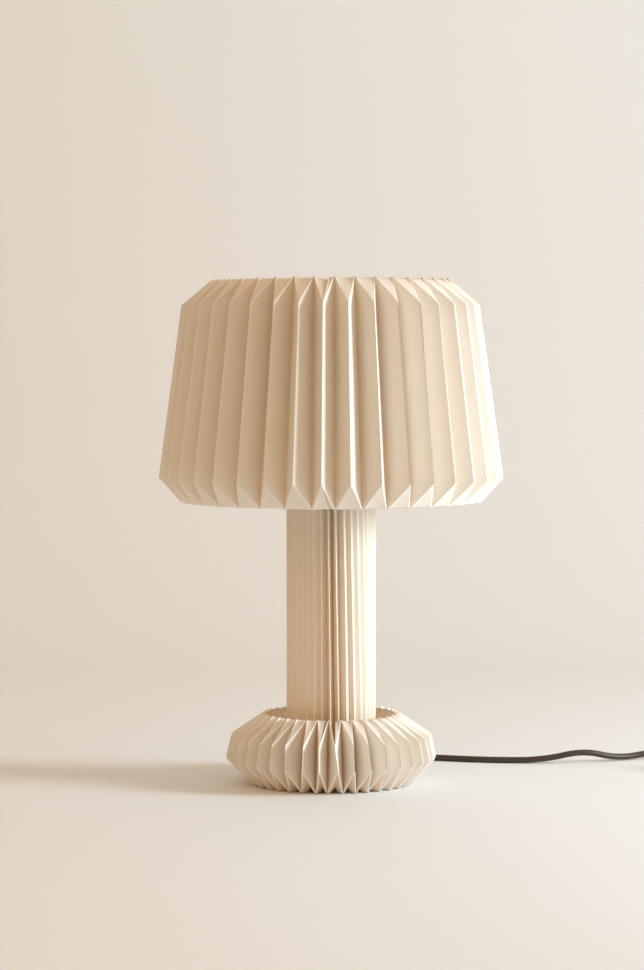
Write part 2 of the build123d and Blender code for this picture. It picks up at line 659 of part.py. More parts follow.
def globe_outline(neck_r, globe_r):
    """Half of the bulb's outline, closed along the axis: a neck that flares into a globe."""
    start = radians(-GLOBE_START)
    globe_start = (globe_r * cos(start), GLOBE_Z + globe_r * sin(start))
    pull = GLASS_NECK_H / 3
    flare = (globe_start[0] + pull * sin(start), globe_start[1] - pull * cos(start))
    with BuildLine() as outline:
        Line((0, SHELL_TOP), (neck_r, SHELL_TOP))
        Bezier((neck_r, SHELL_TOP), (neck_r, SHELL_TOP + pull), flare, globe_start)
        CenterArc((0, GLOBE_Z), globe_r, -GLOBE_START, 90 + GLOBE_START)
        Line((0, GLOBE_Z + globe_r), (0, SHELL_TOP))
    make_face(outline.edges())


with BuildPart() as bulb_glass:
    with BuildSketch(Plane.XZ):
        globe_outline(GLASS_NECK_R, GLASS_R)
    revolve(axis=Axis.Z)
    with BuildSketch(Plane.XZ):
        globe_outline(GLASS_NECK_R - GLASS_T, GLASS_R - GLASS_T)
    revolve(axis=Axis.Z, mode=Mode.SUBTRACT)
keep(bulb_glass, "bulb_glass")

FILAMENT_Z = GLOBE_Z - FILAMENT_LENGTH / 2

with BuildPart(Plane.XY.offset(SHELL_TOP)) as bulb_stem:
    Cone(GLASS_NECK_R - 2 * GLASS_T, STEM_R, STEM_FLARE_H, align=MIN_Z)
    Cylinder(STEM_R, FILAMENT_Z - SHELL_TOP, align=MIN_Z)
    with Locations((0, 0, FILAMENT_Z - SHELL_TOP)):
        with PolarLocations(0, FILAMENT_COUNT):
            Box(
                FILAMENT_CIRCLE_R + FILAMENT_R,
                2 * FILAMENT_R,
                FILAMENT_R,
                align=(Align.MIN, Align.CENTER, Align.MAX),
            )
keep(bulb_stem, "bulb_stem")

with BuildPart(Plane.XY.offset(FILAMENT_Z)) as bulb_filaments:
    with PolarLocations(FILAMENT_CIRCLE_R, FILAMENT_COUNT):
        Cylinder(FILAMENT_R, FILAMENT_LENGTH, align=MIN_Z)
keep(bulb_filaments, "bulb_filaments")

# ---- cord ---------------------------------------------------------------------------------
BORE_R = CORD_R + BORE_CLEARANCE
BUSH_AXIS = Axis((0, 0, BUSH_HEIGHT), around(1, BUSH_AZIMUTH))
BUSH_PLANE = Plane(
    origin=(0, 0, BUSH_HEIGHT), x_dir=around(1, BUSH_AZIMUTH), z_dir=around(1, BUSH_AZIMUTH - 90)
)

with BuildPart() as cord_bush:
    with BuildSketch(BUSH_PLANE):
        with BuildLine():
            Polyline(
                (BUSH_IN_X - BUSH_FLANGE_T, BORE_R),
                (BUSH_IN_X - BUSH_FLANGE_T, BUSH_INNER_FLANGE_R),
                (BUSH_IN_X, BUSH_INNER_FLANGE_R),
                (BUSH_IN_X, BUSH_NECK_R),
                (BUSH_OUT_X, BUSH_NECK_R),
                (BUSH_OUT_X, BUSH_FLANGE_R),
                (BUSH_OUT_X + BUSH_FLANGE_T, BUSH_FLANGE_R),
                (BUSH_OUT_X + BUSH_FLANGE_T, BUSH_NECK_R),
                (BUSH_TIP_X, BUSH_TIP_R),
                (BUSH_TIP_X, BORE_R),
                close=True,
            )
        make_face()
    revolve(axis=BUSH_AXIS)
keep(cord_bush, "cord_bush")

COIL_Z = CORD_R + TIE_GAP + TIE_T
COIL_TOP_Z = COIL_Z + COIL_LIFT
COIL_X, COIL_Y = COIL_CENTRE
COIL_START = (COIL_X, COIL_Y + COIL_OUTER_R, COIL_Z)

SWITCH_X, SWITCH_Y = SWITCH_CENTRE
CORD_IN_SWITCH = SWITCH_LENGTH / 2 - SWITCH_END
PLUG_X, PLUG_Y = PLUG_TAIL

# From the bush behind the lamp, round to the right along the table, over a low hump, and
# into the switch.
TO_SWITCH = [
    around(BUSH_TIP_X, BUSH_AZIMUTH, BUSH_HEIGHT),
    around(BUSH_TIP_X + 15.0, BUSH_AZIMUTH, BUSH_HEIGHT),
    (57.5, 130.0, 5.4),
    (77.0, 134.0, 3.1),
    (98.0, 129.5, 2.8),
    (118.0, 122.5, 2.8),
    (138.0, 117.5, 2.8),
    (159.0, 114.5, 2.8),
    (180.0, 113.0, 3.2),
    (200.0, 114.0, 5.4),
    (217.0, 116.5, 9.0),
    (233.0, 120.5, 9.0),
    (250.0, 127.0, 4.4),
    (265.0, 134.5, 2.9),
    (281.0, 142.0, 4.2),
    (300.0, SWITCH_Y, SWITCH_HALF_H),
    (SWITCH_X - CORD_IN_SWITCH, SWITCH_Y, SWITCH_HALF_H),
]
TO_COIL = [
    (SWITCH_X + CORD_IN_SWITCH, SWITCH_Y, SWITCH_HALF_H),
    (386.0, SWITCH_Y, SWITCH_HALF_H),
    (410.0, COIL_START[1], COIL_Z),
    COIL_START,
]


def coil_edges():
    """The coil's centre line: half turns that spiral in, a climb, half turns that spiral out.
    Seen from above it runs clockwise from its northern point."""
    y = COIL_Y + COIL_OUTER_R
    heading = 1
    radius = COIL_OUTER_R
    for _ in range(COIL_LOW_HALF_TURNS):
        ends = [(COIL_X, y, COIL_Z), (COIL_X, y - heading * 2 * radius, COIL_Z)]
        ThreePointArc(ends[0], (COIL_X + heading * radius, y - heading * radius, COIL_Z), ends[1])
        y -= heading * 2 * radius
        heading = -heading
        radius -= COIL_PITCH / 2
    low, high = Vector(COIL_X, y, COIL_Z), Vector(COIL_X, y - heading * 2 * radius, COIL_TOP_Z)
    reach = (high - low).length / 2
    start_way = Vector(heading, 0, 0)
    joint = (low + high) / 2 + start_way * reach
    TangentArc(low, joint, tangent=start_way)
    TangentArc(joint, high, tangent=high - low)
    y = high.Y
    heading = -heading
    radius += COIL_PITCH / 2
    for _ in range(COIL_HIGH_HALF_TURNS):
        ends = [(COIL_X, y, COIL_TOP_Z), (COIL_X, y - heading * 2 * radius, COIL_TOP_Z)]
        middle = (COIL_X + heading * radius, y - heading * radius, COIL_TOP_Z)
        ThreePointArc(ends[0], middle, ends[1])
        y -= heading * 2 * radius
        heading = -heading
        radius += COIL_PITCH / 2
    return y


def least_gap(line, samples=900):
    """Least gap between turns of a tube of the cord's radius, measured on points of its line."""
    points = [line.position_at(i / samples) for i in range(samples + 1)]
    apart = int(samples * pi * COIL_OUTER_R / 2 / line.length)
    gap = COIL_OUTER_R
    for i, point in enumerate(points):
        for other in points[i + apart:]:
            gap = min(gap, (point - other).length - 2 * CORD_R)
    return gap


with BuildPart() as cord_coil:
    with BuildLine() as coil_line:
        coil_end_y = coil_edges()
    with BuildSketch(Plane(origin=coil_line.line @ 0, z_dir=coil_line.line % 0)):
        Circle(CORD_R)
    sweep(path=coil_line.line)
keep(cord_coil, "cord_coil")
coil_wire = coil_line.wire()
coil_length = coil_wire.length
coil_share = cord_coil.part.volume / (pi * CORD_R**2 * coil_length)
print(f"cord_coil: {coil_length:.0f} mm, least gap {least_gap(coil_wire):.2f} mm,",
      f"volume {coil_share:.4f}")

TO_PLUG = [
    (COIL_X, coil_end_y, COIL_TOP_Z),
    (412.0, coil_end_y, COIL_TOP_Z + 0.2),
    (394.0, 69.5, 9.3),
    (375.0, PLUG_Y, PLUG_AXIS_H),
    (PLUG_X - PLUG_CORD_DEPTH, PLUG_Y, PLUG_AXIS_H),
]

CORD_RUNS = {
    "inner_cord": [around(r, BUSH_AZIMUTH, z) for r, z in INNER_ROUTE],
    "cord_to_switch": TO_SWITCH,
    "cord_to_coil": TO_COIL,
    "cord_to_plug": TO_PLUG,
}
for name, points in CORD_RUNS.items():
    with BuildPart() as cord_run:
        with BuildLine() as route:
            FilletPolyline(*points, radius=bend_radii(points))
        with BuildSketch(Plane(origin=route.line @ 0, z_dir=route.line % 0)):
            Circle(CORD_R)
        sweep(path=route.line)
    report_tube(name, points, CORD_R, cord_run.part, route.wire().length)
    keep(cord_run, name)

LEAD_Z = NIPPLE_TOP + LEAD_START
LEAD_ROUTE = [
    (WIRE_R + GLUE_GAP, 0, LEAD_Z),
    (WIRE_R + GLUE_GAP, 0, LEAD_Z + 3.5),
    (6.0, 0, LEAD_Z + 5.5),
    (TERMINAL_R, 0, CORE_BLOCK_Z - TERMINAL_HEAD_H - GLUE_GAP - WIRE_R / 2),
]

with BuildPart() as lead_wires:
    for side in (1, -1):
        lead = [(side * x, y, z) for x, y, z in LEAD_ROUTE]
        with BuildLine() as lead_line:
            FilletPolyline(*lead, radius=bend_radii(lead))
        with BuildSketch(Plane(origin=lead_line.line @ 0, z_dir=lead_line.line % 0)):
            Circle(WIRE_R)
        sweep(path=lead_line.line)
keep(lead_wires, "lead_wires")

with BuildPart() as coil_tie:
    inner_edge = COIL_OUTER_R - COIL_LOW_HALF_TURNS / 2 * COIL_PITCH
    tie_width = COIL_OUTER_R - inner_edge + 2 * (CORD_R + TIE_GAP)
    tie_height = COIL_LIFT + 2 * (CORD_R + TIE_GAP)
    tie_middle = (COIL_X + (COIL_OUTER_R + inner_edge) / 2, (COIL_Z + COIL_TOP_Z) / 2)
    with BuildSketch(Plane.XZ.offset(-COIL_Y)):
        with Locations(tie_middle):
            RectangleRounded(tie_width + 2 * TIE_T, tie_height + 2 * TIE_T, CORD_R + TIE_T)
            RectangleRounded(tie_width, tie_height, CORD_R, mode=Mode.SUBTRACT)
    extrude(amount=TIE_WIDTH / 2, both=True)
keep(coil_tie, "coil_tie")

# ---- inline switch ------------------------------------------------------------------------
SWITCH_PLANE = Plane(origin=(SWITCH_X, SWITCH_Y, 0))
SWITCH_TOP = 2 * SWITCH_HALF_H
CHANNEL_PLANE = Plane(origin=(SWITCH_X, SWITCH_Y, SWITCH_HALF_H), z_dir=(1, 0, 0))
WELL_LENGTH = ROCKER_LENGTH + 2 * ROCKER_SLACK
WELL_WIDTH = ROCKER_WIDTH + 2 * ROCKER_SIDE_GAP
SWITCH_SCREWS = [SWITCH_SCREW_PLACE, (-SWITCH_SCREW_PLACE[0], -SWITCH_SCREW_PLACE[1])]
SWITCH_HOLE_R = SWITCH_SCREW_R + SCREW_CLEARANCE


def switch_shell(low):
    """One half of the switch's case: a slot-shaped tray with the cord's channel at its ends."""
    with BuildSketch(SWITCH_PLANE.offset(low)) as outline:
        SlotOverall(SWITCH_LENGTH, SWITCH_WIDTH)
    extrude(outline.sketch, amount=SWITCH_HALF_H)


def switch_hollow(low, high):
    """Cut the inside of a half, from low to high, and the cord's channel through its ends."""
    with BuildSketch(SWITCH_PLANE.offset(low)) as hollow:
        Rectangle(SWITCH_LENGTH - 2 * SWITCH_END, SWITCH_WIDTH - 2 * SWITCH_WALL)
    extrude(hollow.sketch, amount=high - low, mode=Mode.SUBTRACT)
    with BuildSketch(CHANNEL_PLANE) as channel:
        Circle(BORE_R)
    extrude(channel.sketch, amount=SWITCH_LENGTH, both=True, mode=Mode.SUBTRACT)


def switch_screw_holes(radius, low, high):
    """Cut the two screw holes of one radius from low to high."""
    with BuildSketch(SWITCH_PLANE.offset(low)) as holes:
        with Locations(*SWITCH_SCREWS):
            Circle(radius)
    extrude(holes.sketch, amount=high - low, mode=Mode.SUBTRACT)


with BuildPart() as switch_base:
    switch_shell(0.0)
    fillet(switch_base.edges().group_by(Axis.Z)[0], SWITCH_EDGE)
    switch_hollow(SWITCH_WALL, SWITCH_HALF_H)
    switch_screw_holes(SWITCH_HOLE_R, 0.0, SWITCH_HALF_H)
    sink = SWITCH_SCREW_SINK + SWITCH_SCREW_HEAD_H
    switch_screw_holes(SWITCH_SCREW_HEAD_R + SCREW_CLEARANCE, 0.0, sink)
keep(switch_base, "switch_base")

RIB_Y = WELL_WIDTH / 2 + ROCKER_RIB_T / 2

with BuildPart() as switch_cover:
    switch_shell(SWITCH_HALF_H)
    fillet(switch_cover.edges().group_by(Axis.Z)[-1], SWITCH_EDGE)
    switch_hollow(SWITCH_HALF_H, SWITCH_TOP - SWITCH_WALL)
    with BuildSketch(SWITCH_PLANE.offset(SWITCH_TOP - SWITCH_WALL)):
        with Locations((0, RIB_Y), (0, -RIB_Y)):
            Rectangle(ROCKER_RIB_LENGTH, ROCKER_RIB_T)
    extrude(amount=-(SWITCH_HALF_H - SWITCH_WALL))
    with BuildSketch(SWITCH_PLANE.offset(SWITCH_TOP - SWITCH_WALL)):
        Rectangle(WELL_LENGTH, WELL_WIDTH)
    extrude(amount=SWITCH_WALL, mode=Mode.SUBTRACT)
    with BuildSketch(Plane(origin=(SWITCH_X, SWITCH_Y, ROCKER_PIVOT_H), z_dir=(0, 1, 0))):
        Circle(ROCKER_PIN_R + PIN_CLEARANCE)
    extrude(amount=RIB_Y + ROCKER_RIB_T / 2, both=True, mode=Mode.SUBTRACT)
    switch_screw_holes(SWITCH_HOLE_R, SWITCH_HALF_H, SWITCH_SCREW_SINK + SWITCH_SCREW_LENGTH + GLUE_GAP)
keep(switch_cover, "switch_cover")

tilt = radians(ROCKER_TILT)
ROCKER_PLANE = Plane(
    origin=(SWITCH_X, SWITCH_Y, ROCKER_PIVOT_H), x_dir=(cos(tilt), 0, sin(tilt)), z_dir=(0, -1, 0)
)

with BuildPart() as switch_rocker:
    with BuildSketch(ROCKER_PLANE):
        with BuildLine():
            Polyline(
                (-ROCKER_LENGTH / 2, 0),
                (-ROCKER_KEEL, -ROCKER_KEEL),
                (ROCKER_KEEL, -ROCKER_KEEL),
                (ROCKER_LENGTH / 2, 0),
                (ROCKER_LENGTH / 2, ROCKER_CROWN),
                (0, ROCKER_CROWN - ROCKER_DIP),
                (-ROCKER_LENGTH / 2, ROCKER_CROWN),
                close=True,
            )
        make_face()
    extrude(amount=ROCKER_WIDTH / 2, both=True)
    with BuildSketch(ROCKER_PLANE):
        Circle(ROCKER_PIN_R)
    extrude(amount=RIB_Y, both=True)
keep(switch_rocker, "switch_rocker")

with BuildPart() as switch_screws:
    with BuildSketch(SWITCH_PLANE.offset(SWITCH_SCREW_SINK)):
        with Locations(*SWITCH_SCREWS):
            Circle(SWITCH_SCREW_R)
    extrude(amount=SWITCH_SCREW_LENGTH)
    with BuildSketch(SWITCH_PLANE.offset(SWITCH_SCREW_SINK)):
        with Locations(*SWITCH_SCREWS):
            Circle(SWITCH_SCREW_HEAD_R)
    extrude(amount=SWITCH_SCREW_HEAD_H)
keep(switch_screws, "switch_screws")

with BuildPart() as switch_contacts:
    contact_x, contact_y, contact_h = SWITCH_CONTACT_SIZE
    for side in (1, -1):
        middle = side * SWITCH_CONTACT_X
        with BuildSketch(SWITCH_PLANE.offset(SWITCH_WALL)):
            with Locations((middle, 0)):
                Rectangle(contact_x, contact_y)
        extrude(amount=SWITCH_CONTACT_T)
        with BuildSketch(SWITCH_PLANE.offset(SWITCH_WALL)):
            with Locations((middle - side * (contact_x - SWITCH_CONTACT_T) / 2, 0)):
                Rectangle(SWITCH_CONTACT_T, contact_y)
        extrude(amount=contact_h)
keep(switch_contacts, "switch_contacts")

# ---- plug ---------------------------------------------------------------------------------
PLUG_PLANE = Plane(origin=(PLUG_X, PLUG_Y, PLUG_AXIS_H), x_dir=(-1, 0, 0), z_dir=(0, 0, 1))
PLUG_FRONT = PLUG_TAIL_LENGTH + PLUG_BODY_LENGTH

with BuildPart() as plug_body:
    with BuildSketch(PLUG_PLANE):
        with BuildLine():
            Polyline(
                (PLUG_TAIL_LENGTH, -PLUG_TAIL_END_R),
                (PLUG_TAIL_LENGTH + PLUG_NOSE, -PLUG_WIDTH / 2),
                (PLUG_FRONT, -PLUG_WIDTH / 2),
                (PLUG_FRONT, PLUG_WIDTH / 2),
                (PLUG_TAIL_LENGTH + PLUG_NOSE, PLUG_WIDTH / 2),
                (PLUG_TAIL_LENGTH, PLUG_TAIL_END_R),
                close=True,
            )
        make_face()
    extrude(amount=PLUG_THICKNESS / 2, both=True)
    fillet(plug_body.edges().group_by(Axis.Z)[0] + plug_body.edges().group_by(Axis.Z)[-1], PLUG_EDGE)
    with BuildSketch(PLUG_PLANE):
        with BuildLine():
            Polyline(
                (0, 0),
                (0, BUSH_TIP_R),
                (PLUG_TAIL_LENGTH + PLUG_EDGE, PLUG_TAIL_END_R),
                (PLUG_TAIL_LENGTH + PLUG_EDGE, 0),
                close=True,
            )
        make_face()
    revolve(axis=Axis((PLUG_X, PLUG_Y, PLUG_AXIS_H), (-1, 0, 0)))
    with BuildSketch(Plane(origin=(PLUG_X, PLUG_Y, PLUG_AXIS_H), z_dir=(-1, 0, 0))):
        Circle(BORE_R)
    extrude(amount=PLUG_CORD_DEPTH, mode=Mode.SUBTRACT)
keep(plug_body, "plug_body")

with BuildPart() as plug_pins:
    pin_plane = Plane(origin=(PLUG_X - PLUG_FRONT, PLUG_Y, PLUG_AXIS_H), z_dir=(-1, 0, 0))
    with Locations(pin_plane):
        with Locations((0, PLUG_PIN_SPACING / 2), (0, -PLUG_PIN_SPACING / 2)):
            Cylinder(PLUG_PIN_R, PLUG_PIN_LENGTH, align=MIN_Z)
    fillet(plug_pins.edges().group_by(Axis.X)[0], PLUG_PIN_R / 2)
keep(plug_pins, "plug_pins")
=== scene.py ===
"""A table lamp of folded paper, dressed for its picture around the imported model.

All lengths are in millimetres until a mesh is made, and azimuths are in degrees from the
front, which is -Y, towards +X.
"""

from __future__ import annotations

import logging
import math
from dataclasses import dataclass
from enum import Enum
from typing import Any, Mapping, Sequence

import bmesh
import bpy
import numpy as np
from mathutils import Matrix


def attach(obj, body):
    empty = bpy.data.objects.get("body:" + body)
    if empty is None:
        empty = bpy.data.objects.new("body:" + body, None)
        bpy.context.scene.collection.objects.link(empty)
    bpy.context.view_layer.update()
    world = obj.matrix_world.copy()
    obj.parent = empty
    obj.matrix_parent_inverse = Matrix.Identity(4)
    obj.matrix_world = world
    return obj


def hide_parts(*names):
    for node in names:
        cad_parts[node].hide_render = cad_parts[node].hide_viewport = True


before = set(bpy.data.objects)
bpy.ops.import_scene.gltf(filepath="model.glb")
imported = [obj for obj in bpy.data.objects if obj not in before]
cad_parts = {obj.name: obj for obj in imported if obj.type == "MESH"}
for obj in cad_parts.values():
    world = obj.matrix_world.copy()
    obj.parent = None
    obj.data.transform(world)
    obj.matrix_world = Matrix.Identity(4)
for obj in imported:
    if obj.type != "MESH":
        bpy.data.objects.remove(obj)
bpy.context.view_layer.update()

LOG = logging.getLogger("lamp")
MM = 0.001
Array = np.ndarray
Colour = tuple[float, float, float]
Point = tuple[float, float, float]
Spot = tuple[float, float]
Object = bpy.types.Object
Material = bpy.types.Material
Chance = np.random.Generator


# ---- shader expressions ----
class Signal:
    """A node's output that can be used in Python expressions; each operator adds a Math node."""

    def __init__(self, graph: "Graph", socket: bpy.types.NodeSocket) -> None:
        """Wrap a socket of a graph."""
        self.graph = graph
        self.socket = socket

    def _math(self, operation: str, first: Any, second: Any) -> "Signal":
        """One Math node on two values or signals."""
        return self.graph.node("ShaderNodeMath", {"operation": operation}, {0: first, 1: second})

    def __add__(self, other: Any) -> "Signal":
        """Sum."""
        return self._math("ADD", self, other)

    __radd__ = __add__

    def __sub__(self, other: Any) -> "Signal":
        """Difference."""
        return self._math("SUBTRACT", self, other)

    def __rsub__(self, other: Any) -> "Signal":
        """Difference, with this signal on the right."""
        return self._math("SUBTRACT", other, self)

    def __mul__(self, other: Any) -> "Signal":
        """Product."""
        return self._math("MULTIPLY", self, other)

    __rmul__ = __mul__

    def ramp(self, low: float, high: float) -> "Signal":
        """0 below low, 1 above high, and a smooth step between."""
        return self.graph.node(
            "ShaderNodeMapRange",
            {"interpolation_type": "SMOOTHSTEP"},
            {"Value": self, "From Min": low, "From Max": high},
            "Result",
        )


class Graph:
    """A node tree that is filled with signals."""

    def __init__(self, tree: bpy.types.NodeTree) -> None:
        """Start from a node tree."""
        self.tree = tree

    def put(self, socket: bpy.types.NodeSocket, value: Any) -> None:
        """Give a socket a signal or a plain value."""
        if isinstance(value, Signal):
            self.tree.links.new(value.socket, socket)
        elif socket.type == "RGBA" and len(value) == 3:
            socket.default_value = (*value, 1.0)
        else:
            socket.default_value = value

    def node(
        self,
        kind: str,
        settings: Mapping[str, Any] | None = None,
        inputs: Mapping[str | int, Any] | None = None,
        output: str | int = 0,
    ) -> Signal:
        """Add any node.

        Args:
            kind: the node's type.
            settings: its properties, set first.
            inputs: values or signals of its sockets, by name or place.
            output: the output that is returned.

        Returns:
            The chosen output as a signal.
        """
        made = self.tree.nodes.new(kind)
        for key, value in (settings or {}).items():
            setattr(made, key, value)
        for key, value in (inputs or {}).items():
            self.put(made.inputs[key], value)
        return Signal(self, made.outputs[output])

    def blend(self, share: Any, first: Any, second: Any) -> Signal:
        """Mix two colours: the first where share is 0, the second where it is 1."""
        return self.node("ShaderNodeMix", {"data_type": "RGBA"}, {0: share, 6: first, 7: second}, 2)


class Recipe(Graph):
    """A material's node tree, with a Principled shader at its end."""

    def __init__(self, name: str) -> None:
        """Make the material and its shader."""
        self.material = bpy.data.materials.new(name)
        self.material.use_nodes = True
        super().__init__(self.material.node_tree)
        self.tree.nodes.clear()
        self.shader = self.tree.nodes.new("ShaderNodeBsdfPrincipled")
        self.output = self.tree.nodes.new("ShaderNodeOutputMaterial")
        self.tree.links.new(self.shader.outputs["BSDF"], self.output.inputs["Surface"])

    def place(self) -> Signal:
        """The point on the piece, in its object's coordinates."""
        return self.node("ShaderNodeTexCoord", output="Object")

    def attribute(self, name: str) -> Signal:
        """A value that the mesh carries."""
        return self.node("ShaderNodeAttribute", {"attribute_name": name}, output="Fac")

    def noise(self, scale: float | Point, detail: float = 3.0, rough: float = 0.55) -> Signal:
        """Soft noise from 0 to 1 over the piece, its features 1/scale metres, or so on each axis."""
        where = self.place()
        if isinstance(scale, tuple):
            where = self.node("ShaderNodeMapping", inputs={"Vector": where, "Scale": scale})
            scale = 1.0
        inputs = {"Vector": where, "Scale": scale, "Detail": detail, "Roughness": rough}
        return self.node("ShaderNodeTexNoise", inputs=inputs)

    def bands(self, where: Signal, direction: str, scale: float, bent: float, detail: float) -> Signal:
        """Bands from 0 to 1 across a direction, bent by noise."""
        return self.node(
            "ShaderNodeTexWave",
            {"wave_type": "BANDS", "bands_direction": direction},
            {"Vector": where, "Scale": scale, "Distortion": bent, "Detail": detail},
            "Fac",
        )

    def bump(self, height: Signal, depth_mm: float, strength: float = 1.0) -> None:
        """Drive the shader's normal by a height from 0 to 1 that stands for depth_mm."""
        inputs = {"Height": height, "Distance": depth_mm * MM, "Strength": strength}
        self.put(self.shader.inputs["Normal"], self.node("ShaderNodeBump", inputs=inputs))

    def one_sided(self) -> None:
        """Leave the surface out from its back, so that it hides nothing in front of it."""
        back = self.node("ShaderNodeNewGeometry", output="Backfacing")
        front = Signal(self, self.shader.outputs["BSDF"])
        clear = self.node("ShaderNodeBsdfTransparent")
        mixed = self.node("ShaderNodeMixShader", inputs={0: back, 1: front, 2: clear})
        self.put(self.output.inputs["Surface"], mixed)

    def set(self, **sockets: Any) -> Material:
        """Give the shader's sockets their values; an underscore stands for a space.

        Returns:
            The finished material.
        """
        for name, value in sockets.items():
            self.put(self.shader.inputs[name.replace("_", " ")], value)
        return self.material


# ---- finishes ----
def toned(colour: Colour, factor: float, lift: float = 0.0) -> Colour:
    """A colour made darker or paler: each channel times factor, plus lift, at most 1."""
    return tuple(min(1.0, channel * factor + lift) for channel in colour)


@dataclass(frozen=True)
class PaperFinish:
    """Heavy uncoated paper: fine fibres and faint clouds, with painted shade deep in the pleats and a
    painted highlight along the folds.

    Fields:
        sheet, groove, fold: its colour on the flat; painted shade deep in a pleat; a painted highlight
            along a fold.
        glow, painted_glow_colour: strength and colour of painted light given off by the sheet, a steady
            emission that stands in for light coming through it from its other side.
    """

    name: str
    sheet: Colour
    groove: Colour
    fold: Colour
    rough: float = 0.9
    painted_glow: float = 0.0
    painted_glow_colour: Colour = (1.0, 0.70, 0.46)

    def material(self) -> Material:
        """Colour goes from groove to sheet by the mesh's depth, as painted shade, and to fold along its
        folds, as a painted highlight.
        """
        recipe = Recipe(self.name)
        clouds = recipe.noise(38.0, 3.0)
        fibres = recipe.noise((900.0, 900.0, 260.0), 4.0, 0.7)
        flecks = recipe.noise(2600.0, 2.0)
        depth = recipe.attribute("depth")
        # Painted shade: the groove colour fills the valleys, where the mesh's depth is low.
        colour = recipe.blend(depth.ramp(0.0, 0.3), self.groove, self.sheet)
        tone = (clouds.ramp(0.3, 0.75) * 0.5 + fibres.ramp(0.35, 0.8) * 0.35) * 0.55
        colour = recipe.blend(tone, colour, toned(self.sheet, 0.93))
        # Painted highlight: the fold colour along every fold and cut edge.
        colour = recipe.blend(recipe.attribute("fold"), colour, self.fold)
        recipe.bump(fibres * 0.6 + flecks * 0.4, 0.05, 0.35)
        return recipe.set(
            Base_Color=colour,
            Roughness=self.rough - 0.08 * fibres,
            Specular_IOR_Level=0.25,
            Sheen_Weight=0.08,
            Sheen_Roughness=0.6,
            # Painted light: a steady emission that stands in for light coming through the sheet.
            Emission_Color=self.painted_glow_colour,
            Emission_Strength=self.painted_glow,
        )


@dataclass(frozen=True)
class MouldedFinish:
    """Moulded plastic or rubber with a fine spark-eroded grain and slight handling marks."""

    name: str
    colour: Colour
    rough: float = 0.45
    grain_mm: float = 0.03
    worn: float = 0.12

    def material(self) -> Material:
        """Fine grain in the bump, slow clouds in roughness and colour."""
        recipe = Recipe(self.name)
        marks = recipe.noise(60.0, 4.0, 0.6).ramp(0.45, 0.75)
        recipe.bump(recipe.noise(1800.0, 2.0), self.grain_mm, 0.5)
        return recipe.set(
            Base_Color=recipe.blend(marks * self.worn * 2.0, self.colour, toned(self.colour, 1.35, 0.01)),
            Roughness=self.rough + marks * self.worn,
            IOR=1.47,
        )


@dataclass(frozen=True)
class MetalFinish:
    """Bare or plated metal, brushed or turned, a little dull in patches."""

    name: str
    colour: Colour
    rough: float = 0.3
    lines: Point = (300.0, 300.0, 2400.0)

    def material(self) -> Material:
        """Stretched noise for tool marks, clouds for the dull patches."""
        recipe = Recipe(self.name)
        marks = recipe.noise(self.lines, 3.0)
        dull = recipe.noise(90.0, 4.0).ramp(0.4, 0.8)
        recipe.bump(marks, 0.02, 0.3)
        return recipe.set(
            Base_Color=recipe.blend(dull * 0.6, self.colour, toned(self.colour, 0.72)),
            Metallic=1.0,
            Roughness=self.rough + 0.1 * marks + 0.15 * dull,
        )


@dataclass(frozen=True)
class CoatFinish:
    """A hard skin, painted, glazed or fired: slightly uneven, with darker spots.

    Fields:
        skin: scale and detail of the unevenness.
        skin_mm, skin_strength: its depth and strength in the bump.
        uneven: how much rougher it is on its hills.
        spots: scale and detail of the spots.
        spot_range: the noise from which a spot starts and at which it is full.
        spot_share, spot_tone: how strong and how dark they are.
    """

    name: str
    colour: Colour
    rough: float
    skin: Spot = (160.0, 2.0)
    skin_mm: float = 0.05
    skin_strength: float = 0.3
    uneven: float = 0.08
    spots: Spot = (1600.0, 2.0)
    spot_range: Spot = (0.66, 0.74)
    spot_share: float = 0.5
    spot_tone: float = 0.6

    def material(self) -> Material:
        """One noise for the skin in bump and roughness, one for the spots in colour."""
        recipe = Recipe(self.name)
        skin = recipe.noise(*self.skin)
        spots = recipe.noise(*self.spots).ramp(*self.spot_range)
        recipe.bump(skin, self.skin_mm, self.skin_strength)
        darker = toned(self.colour, self.spot_tone)
        return recipe.set(
            Base_Color=recipe.blend(spots * self.spot_share, self.colour, darker),
            Roughness=self.rough + self.uneven * skin,
        )


@dataclass(frozen=True)
class WoodFinish:
    """Raw plywood disc: rings and pores."""

    name: str
    light: Colour
    dark: Colour

    def material(self) -> Material:
        """Bands bent by noise, with fine pores along the grain."""
        recipe = Recipe(self.name)
        bands = recipe.bands(recipe.place(), "X", 70.0, 6.0, 3.0)
        pores = recipe.noise((2600.0, 180.0, 180.0), 3.0).ramp(0.55, 0.8)
        recipe.bump(pores, 0.06, 0.4)
        return recipe.set(
            Base_Color=recipe.blend(bands * 0.6 + pores * 0.4, self.light, self.dark),
            Roughness=0.72 + 0.1 * pores,
        )


@dataclass(frozen=True)
class FeltFinish:
    """Pressed felt: short hairs in clumps."""

    name: str
    colour: Colour

    def material(self) -> Material:
        """Two sizes of noise for clumps and hairs."""
        recipe = Recipe(self.name)
        clumps = recipe.noise(420.0, 5.0, 0.8)
        hairs = recipe.noise(3000.0, 2.0)
        recipe.bump(clumps * 0.7 + hairs * 0.3, 0.25, 0.8)
        return recipe.set(
            Base_Color=recipe.blend(clumps.ramp(0.35, 0.7), self.colour, toned(self.colour, 1.7, 0.01)),
            Roughness=1.0,
            Sheen_Weight=0.4,
            Specular_IOR_Level=0.1,
        )


